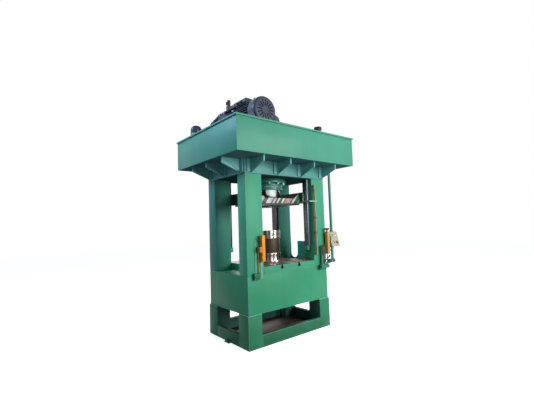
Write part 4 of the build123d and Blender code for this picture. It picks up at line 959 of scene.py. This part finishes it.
# Pendant: a painted pipe hung from a flange under the tank carries a sheet box with a sloping
# panel. The pipe's lower end is held by a clamp on a stay from the column.
pipe_green = enamel("pipe_green", (0.060, 0.270, 0.190), rough=0.24, coat=0.25)
clamp_dark = enamel("clamp_dark", (0.030, 0.075, 0.065), rough=0.42)
pipe_x, pipe_y, pipe_reach = 0.890, -0.475, 0.022
clamp_foot, clamp_top = 0.9295, 0.9785
top_low, top_high = 0.977, 0.979
pipe = rounded("pendant_pipe", 0.0015, (pipe_green, pipe_green))
repaint(
    pipe,
    clamp_dark,
    lambda middle, normal: clamp_foot < middle.z < clamp_top
    and abs(middle.y - pipe_y) > pipe_reach,
)
repaint(pipe, clamp_dark, lambda middle, normal: top_low < middle.z < top_high)
collars = [cylinder(40, 0.029, 0.022, place=(pipe_x, pipe_y, z)) for z in (1.406, 2.380, 1.162)]
dress(ease(joined(collars), 0.002), "pipe_collars", pipe_green)
pipe_spots = [((x, y, 2.391), down) for x in (0.852, 0.928) for y in (-0.513, -0.437)]
pipe_spots += [((x, -0.503, 0.954), forward) for x in (0.848, 0.918)]
dress(repeated(lid_bolt, pipe_spots), "pipe_bolts", bolt_steel)
put_away(lid_bolt)
box_paint = moulded("box_paint", (0.43, 0.405, 0.320), 0.44, soil=0.45)
# The box's left side is painted a lighter, yellower beige, a painted highlight.
lit_box_side = moulded("lit_box_side", (0.56, 0.50, 0.24), 0.44, soil=0.3)
gasket = moulded("gasket", (0.045, 0.045, 0.040), 0.6)
bezel_metal = machined("bezel_metal", (0.55, 0.56, 0.56), 0.22)
panel_middle = Vector((pipe_x, -0.530, 1.284))
panel_out = Vector((0, -0.222, 0.060)).normalized()
panel_up = Vector((0, 0.060, 0.222)).normalized()
gasket_near, gasket_far, bezel_from = 0.016, 0.019, 0.0008
box = rounded("pendant_box", 0.0012, (box_paint, box_paint))
joined([box])
for depth in (gasket_near, gasket_far):
    bpy.ops.object.mode_set(mode="EDIT")
    bpy.ops.mesh.select_all(action="SELECT")
    bpy.ops.mesh.bisect(plane_co=panel_middle - panel_out * depth, plane_no=panel_out)
    bpy.ops.object.mode_set(mode="OBJECT")
repaint(box, lit_box_side, lambda middle, normal: normal.x < -0.7)
repaint(
    box,
    gasket,
    lambda middle, normal: gasket_near < (panel_middle - middle).dot(panel_out) < gasket_far,
)
repaint(
    box,
    bezel_metal,
    lambda middle, normal: (middle - panel_middle).dot(panel_out) > bezel_from,
)
panel_spots = [
    (panel_middle + Vector((x, 0, 0)) + panel_up * rise, panel_out)
    for x in both(0.082)
    for rise in both(0.103)
]
dress(repeated(small_screw, panel_spots), "panel_screws", bolt_steel)
for node, body, colour, slot in (
    ("start_button", "start_key", (0.06, 0.28, 0.12), "button_green"),
    ("return_button", "return_key", (0.70, 0.70, 0.67), "button_white"),
    ("stop_button", "stop_key", (0.46, 0.130, 0.100), "button_red"),
    ("mode_selector", "selector_key", (0.240, 0.230, 0.210), "black_plastic"),
):
    key = moulded(node + "_finish", colour, 0.25, coat=0.4)
    rounded(node, 0.0006, (key, key), body=body)

# Hand lubricator: a dark reservoir over a slim pump barrel between two cast legs, on a plate shelf
# that is welded to the column. Its lever turns on a pin and ends in a round knob.
# The shelf is painted a darker green than the frame, a painted shade.
shaded_shelf_green = enamel("shaded_shelf_green", (0.030, 0.200, 0.130), rough=0.36)
rounded("lube_shelf", 0.002, (shaded_shelf_green, frame_edge_highlight))
leg_green = enamel("leg_green", (0.160, 0.420, 0.310), rough=0.36)
reservoir_dark = moulded("reservoir_dark", (0.040, 0.042, 0.034), 0.42, soil=0.4)
barrel_x, barrel_reach, pin_face, reservoir_foot = 0.624, 0.020, -0.5345, 1.068
lubricator = rounded("lube_pump", 0.001, (reservoir_dark, reservoir_dark))
repaint(
    lubricator,
    leg_green,
    lambda middle, normal: middle.z < reservoir_foot and abs(middle.x - barrel_x) > barrel_reach,
)
repaint(
    lubricator,
    dark_rod,
    lambda middle, normal: middle.z < reservoir_foot and middle.y < pin_face,
)
filler = cylinder(24, 0.014, 0.012, place=(barrel_x, -0.518, 1.201))
dress(ease(filler, 0.002), "reservoir_cap", black)
foot_bolts = [((x, y, 0.925), up) for x in (0.586, 0.662) for y in (-0.544, -0.492)]
dress(repeated(small_screw, foot_bolts), "lubricator_screws", bolt_steel)
rounded("lube_lever", 0.001, (black, black), body="lube_handle")

# Motor: a cast body with cooling fins between two end shields, a pressed fan cowl at the front, and
# feet that run forward to a cradle plate. Dark blue-grey enamel, with an eyebolt to lift it by.
motor_blue = enamel("motor_blue", (0.029, 0.038, 0.068), rough=0.32, coat=0.12, gloss=0.2)
# A lighter blue-grey, a painted highlight, goes on the broken edges, the eyebolt and the pipe
# union.
motor_highlight = enamel("motor_highlight", (0.054, 0.066, 0.105), rough=0.28, coat=0.12)
for casting in ("motor_body", "fan_cowl", "bell_housing", "pump", "valve_block"):
    rounded(casting, 0.0015, (motor_blue, motor_highlight), corner=50.0, steps=1)
fan = frame["nodes"]["motor_fan"].data
fan.materials.clear()
fan.materials.append(black)
motor_x = -0.480
motor_middle = Vector((motor_x, 0, 3.043))
spindle = rounded("motor_shaft", 0.0005, (dark_rod, dark_rod), body="rotor")
# Drawn in a little towards its axis, the shaft turns clear of the body.
shaft_share = 0.984
thinner = Matrix.Diagonal((shaft_share, 1.0, shaft_share, 1.0))
to_axis, from_axis = Matrix.Translation(-motor_middle), Matrix.Translation(motor_middle)
spindle.data.transform(from_axis @ thinner @ to_axis)
eye_y = -0.400
upright = (pi / 2, 0, 0)
eye_place = (motor_x, eye_y, 3.247)
eye = wire_ring(0.022, 0.006, steps=36, sides=12, place=eye_place, rotation=upright)
eye_foot = cylinder(28, 0.020, 0.016, place=(motor_x, eye_y, 3.219))
dress(joined([eye, ease(eye_foot, 0.003)]), "lifting_eye", motor_highlight)
quarters = [Vector((cos(pi / 4 + i * pi / 2), 0, sin(pi / 4 + i * pi / 2))) for i in range(4)]
to_cowl, to_shield, to_bell = Vector((0, -0.492, 0)), Vector((0, 0.132, 0)), Vector((0, 0.262, 0))
cowl_spots = [(motor_middle + out * 0.1848 + to_cowl, out) for out in quarters]
dress(repeated(small_screw, cowl_spots), "cowl_screws", bolt_steel)
body_bolt = hex_bolt(0.014)
backward = (0, 1, 0)
body_spots = [((motor_x + x, y, 2.851), up) for x in both(0.1375) for y in (-0.355, -0.035)]
for out in quarters:
    body_spots.append((motor_middle + out * 0.140 + to_shield, backward))
    body_spots.append((motor_middle + out * 0.093 + to_bell, backward))
dress(repeated(body_bolt, body_spots), "motor_bolts", bolt_steel)
put_away(body_bolt)
rounded("terminal_box", 0.002, (motor_blue, motor_highlight))
term_lid = slab((-0.577, -0.312, 3.272), (-0.383, -0.008, 3.2858), 0.003)
dress(term_lid, "terminal_lid", motor_blue)
box_end = slab((-0.573, -0.0105, 3.234), (-0.387, 0.112, 3.284), 0.003)
dress(box_end, "terminal_box_end", motor_blue)
cable_gland = hex_bolt(0.030)
leftward = (-1, 0, 0)
side_glands = [((-0.575, y, 3.256), leftward) for y in (-0.20, -0.12)]
dress(repeated(cable_gland, side_glands), "cable_glands", black)
put_away(cable_gland)

# Valve block: a bored block beside the pump, with plugs in its ports and a solenoid valve on top.
# The return pipe is bent tube with a union at the block and a seat screwed to the tank's lid.
coil_black = moulded("coil_black", (0.034, 0.034, 0.044), 0.34, coat=0.2)
rounded("valve_coils", 0.001, (coil_black, coil_black))
plug = socket_screw(0.026)
plug_spots = [((-0.628, y, 3.196), leftward) for y in (0.17, 0.23, 0.29)]
plug_spots += [((-0.40, y, 3.220), up) for y in (0.18, 0.28)]
dress(repeated(plug, plug_spots), "block_plugs", bolt_steel)
put_away(plug)
connector = slab((-0.585, 0.156, 3.330), (-0.566, 0.188, 3.376), 0.004)
dress(connector, "coil_connector", black)
rounded("return_pipe", 0.001, (motor_blue, motor_blue))
return_x, seat_y = -0.596, 0.610
union = cylinder(6, 0.040, 0.026, place=(return_x, 0.343, 3.190), rotation=upright)
pipe_seat = cylinder(40, 0.056, 0.014, place=(return_x, seat_y, 2.840))
dress(ease(joined([union, pipe_seat]), 0.002), "pipe_union_and_flange", motor_highlight)
seat_spots = [((return_x + x, seat_y + y, 2.847), up) for x in both(0.030) for y in both(0.030)]
dress(repeated(small_screw, seat_spots), "flange_screws", bolt_steel)
put_away(small_screw)

# Breather filter: a pressed dome with two rolled bands on a threaded neck, near the tank's left
# edge. The filler at the right of the motor has a ribbed cap that is turned by hand.
filter_grey = moulded("filter_grey", (0.035, 0.050, 0.085), 0.24, coat=0.2, soil=0.3)
rounded("breather_filter", 0.001, (filter_grey, filter_grey))
rolled_bands = [
    wire_ring(0.0815, 0.004, steps=64, sides=8, place=(-0.930, 0.470, z)) for z in (2.869, 2.900)
]
dress(joined(rolled_bands), "breather_bands", wiper_steel)
rounded("filler_cap", 0.001, (black, black))
rib = slab((0, -0.0025, 2.932), (0.0020, 0.0025, 2.962), 0.0008)
rib.data.transform(Matrix.Translation((0.0555, 0, 0)))
rib_count = 32
cap_place = Matrix.Translation((0.524, -0.610, 0))
ribs = [
    set_down(rib, cap_place @ Matrix.Rotation(i * 2 * pi / rib_count, 4, "Z"))
    for i in range(rib_count)
]
dress(joined(ribs), "filler_ribs", black)
put_away(rib)
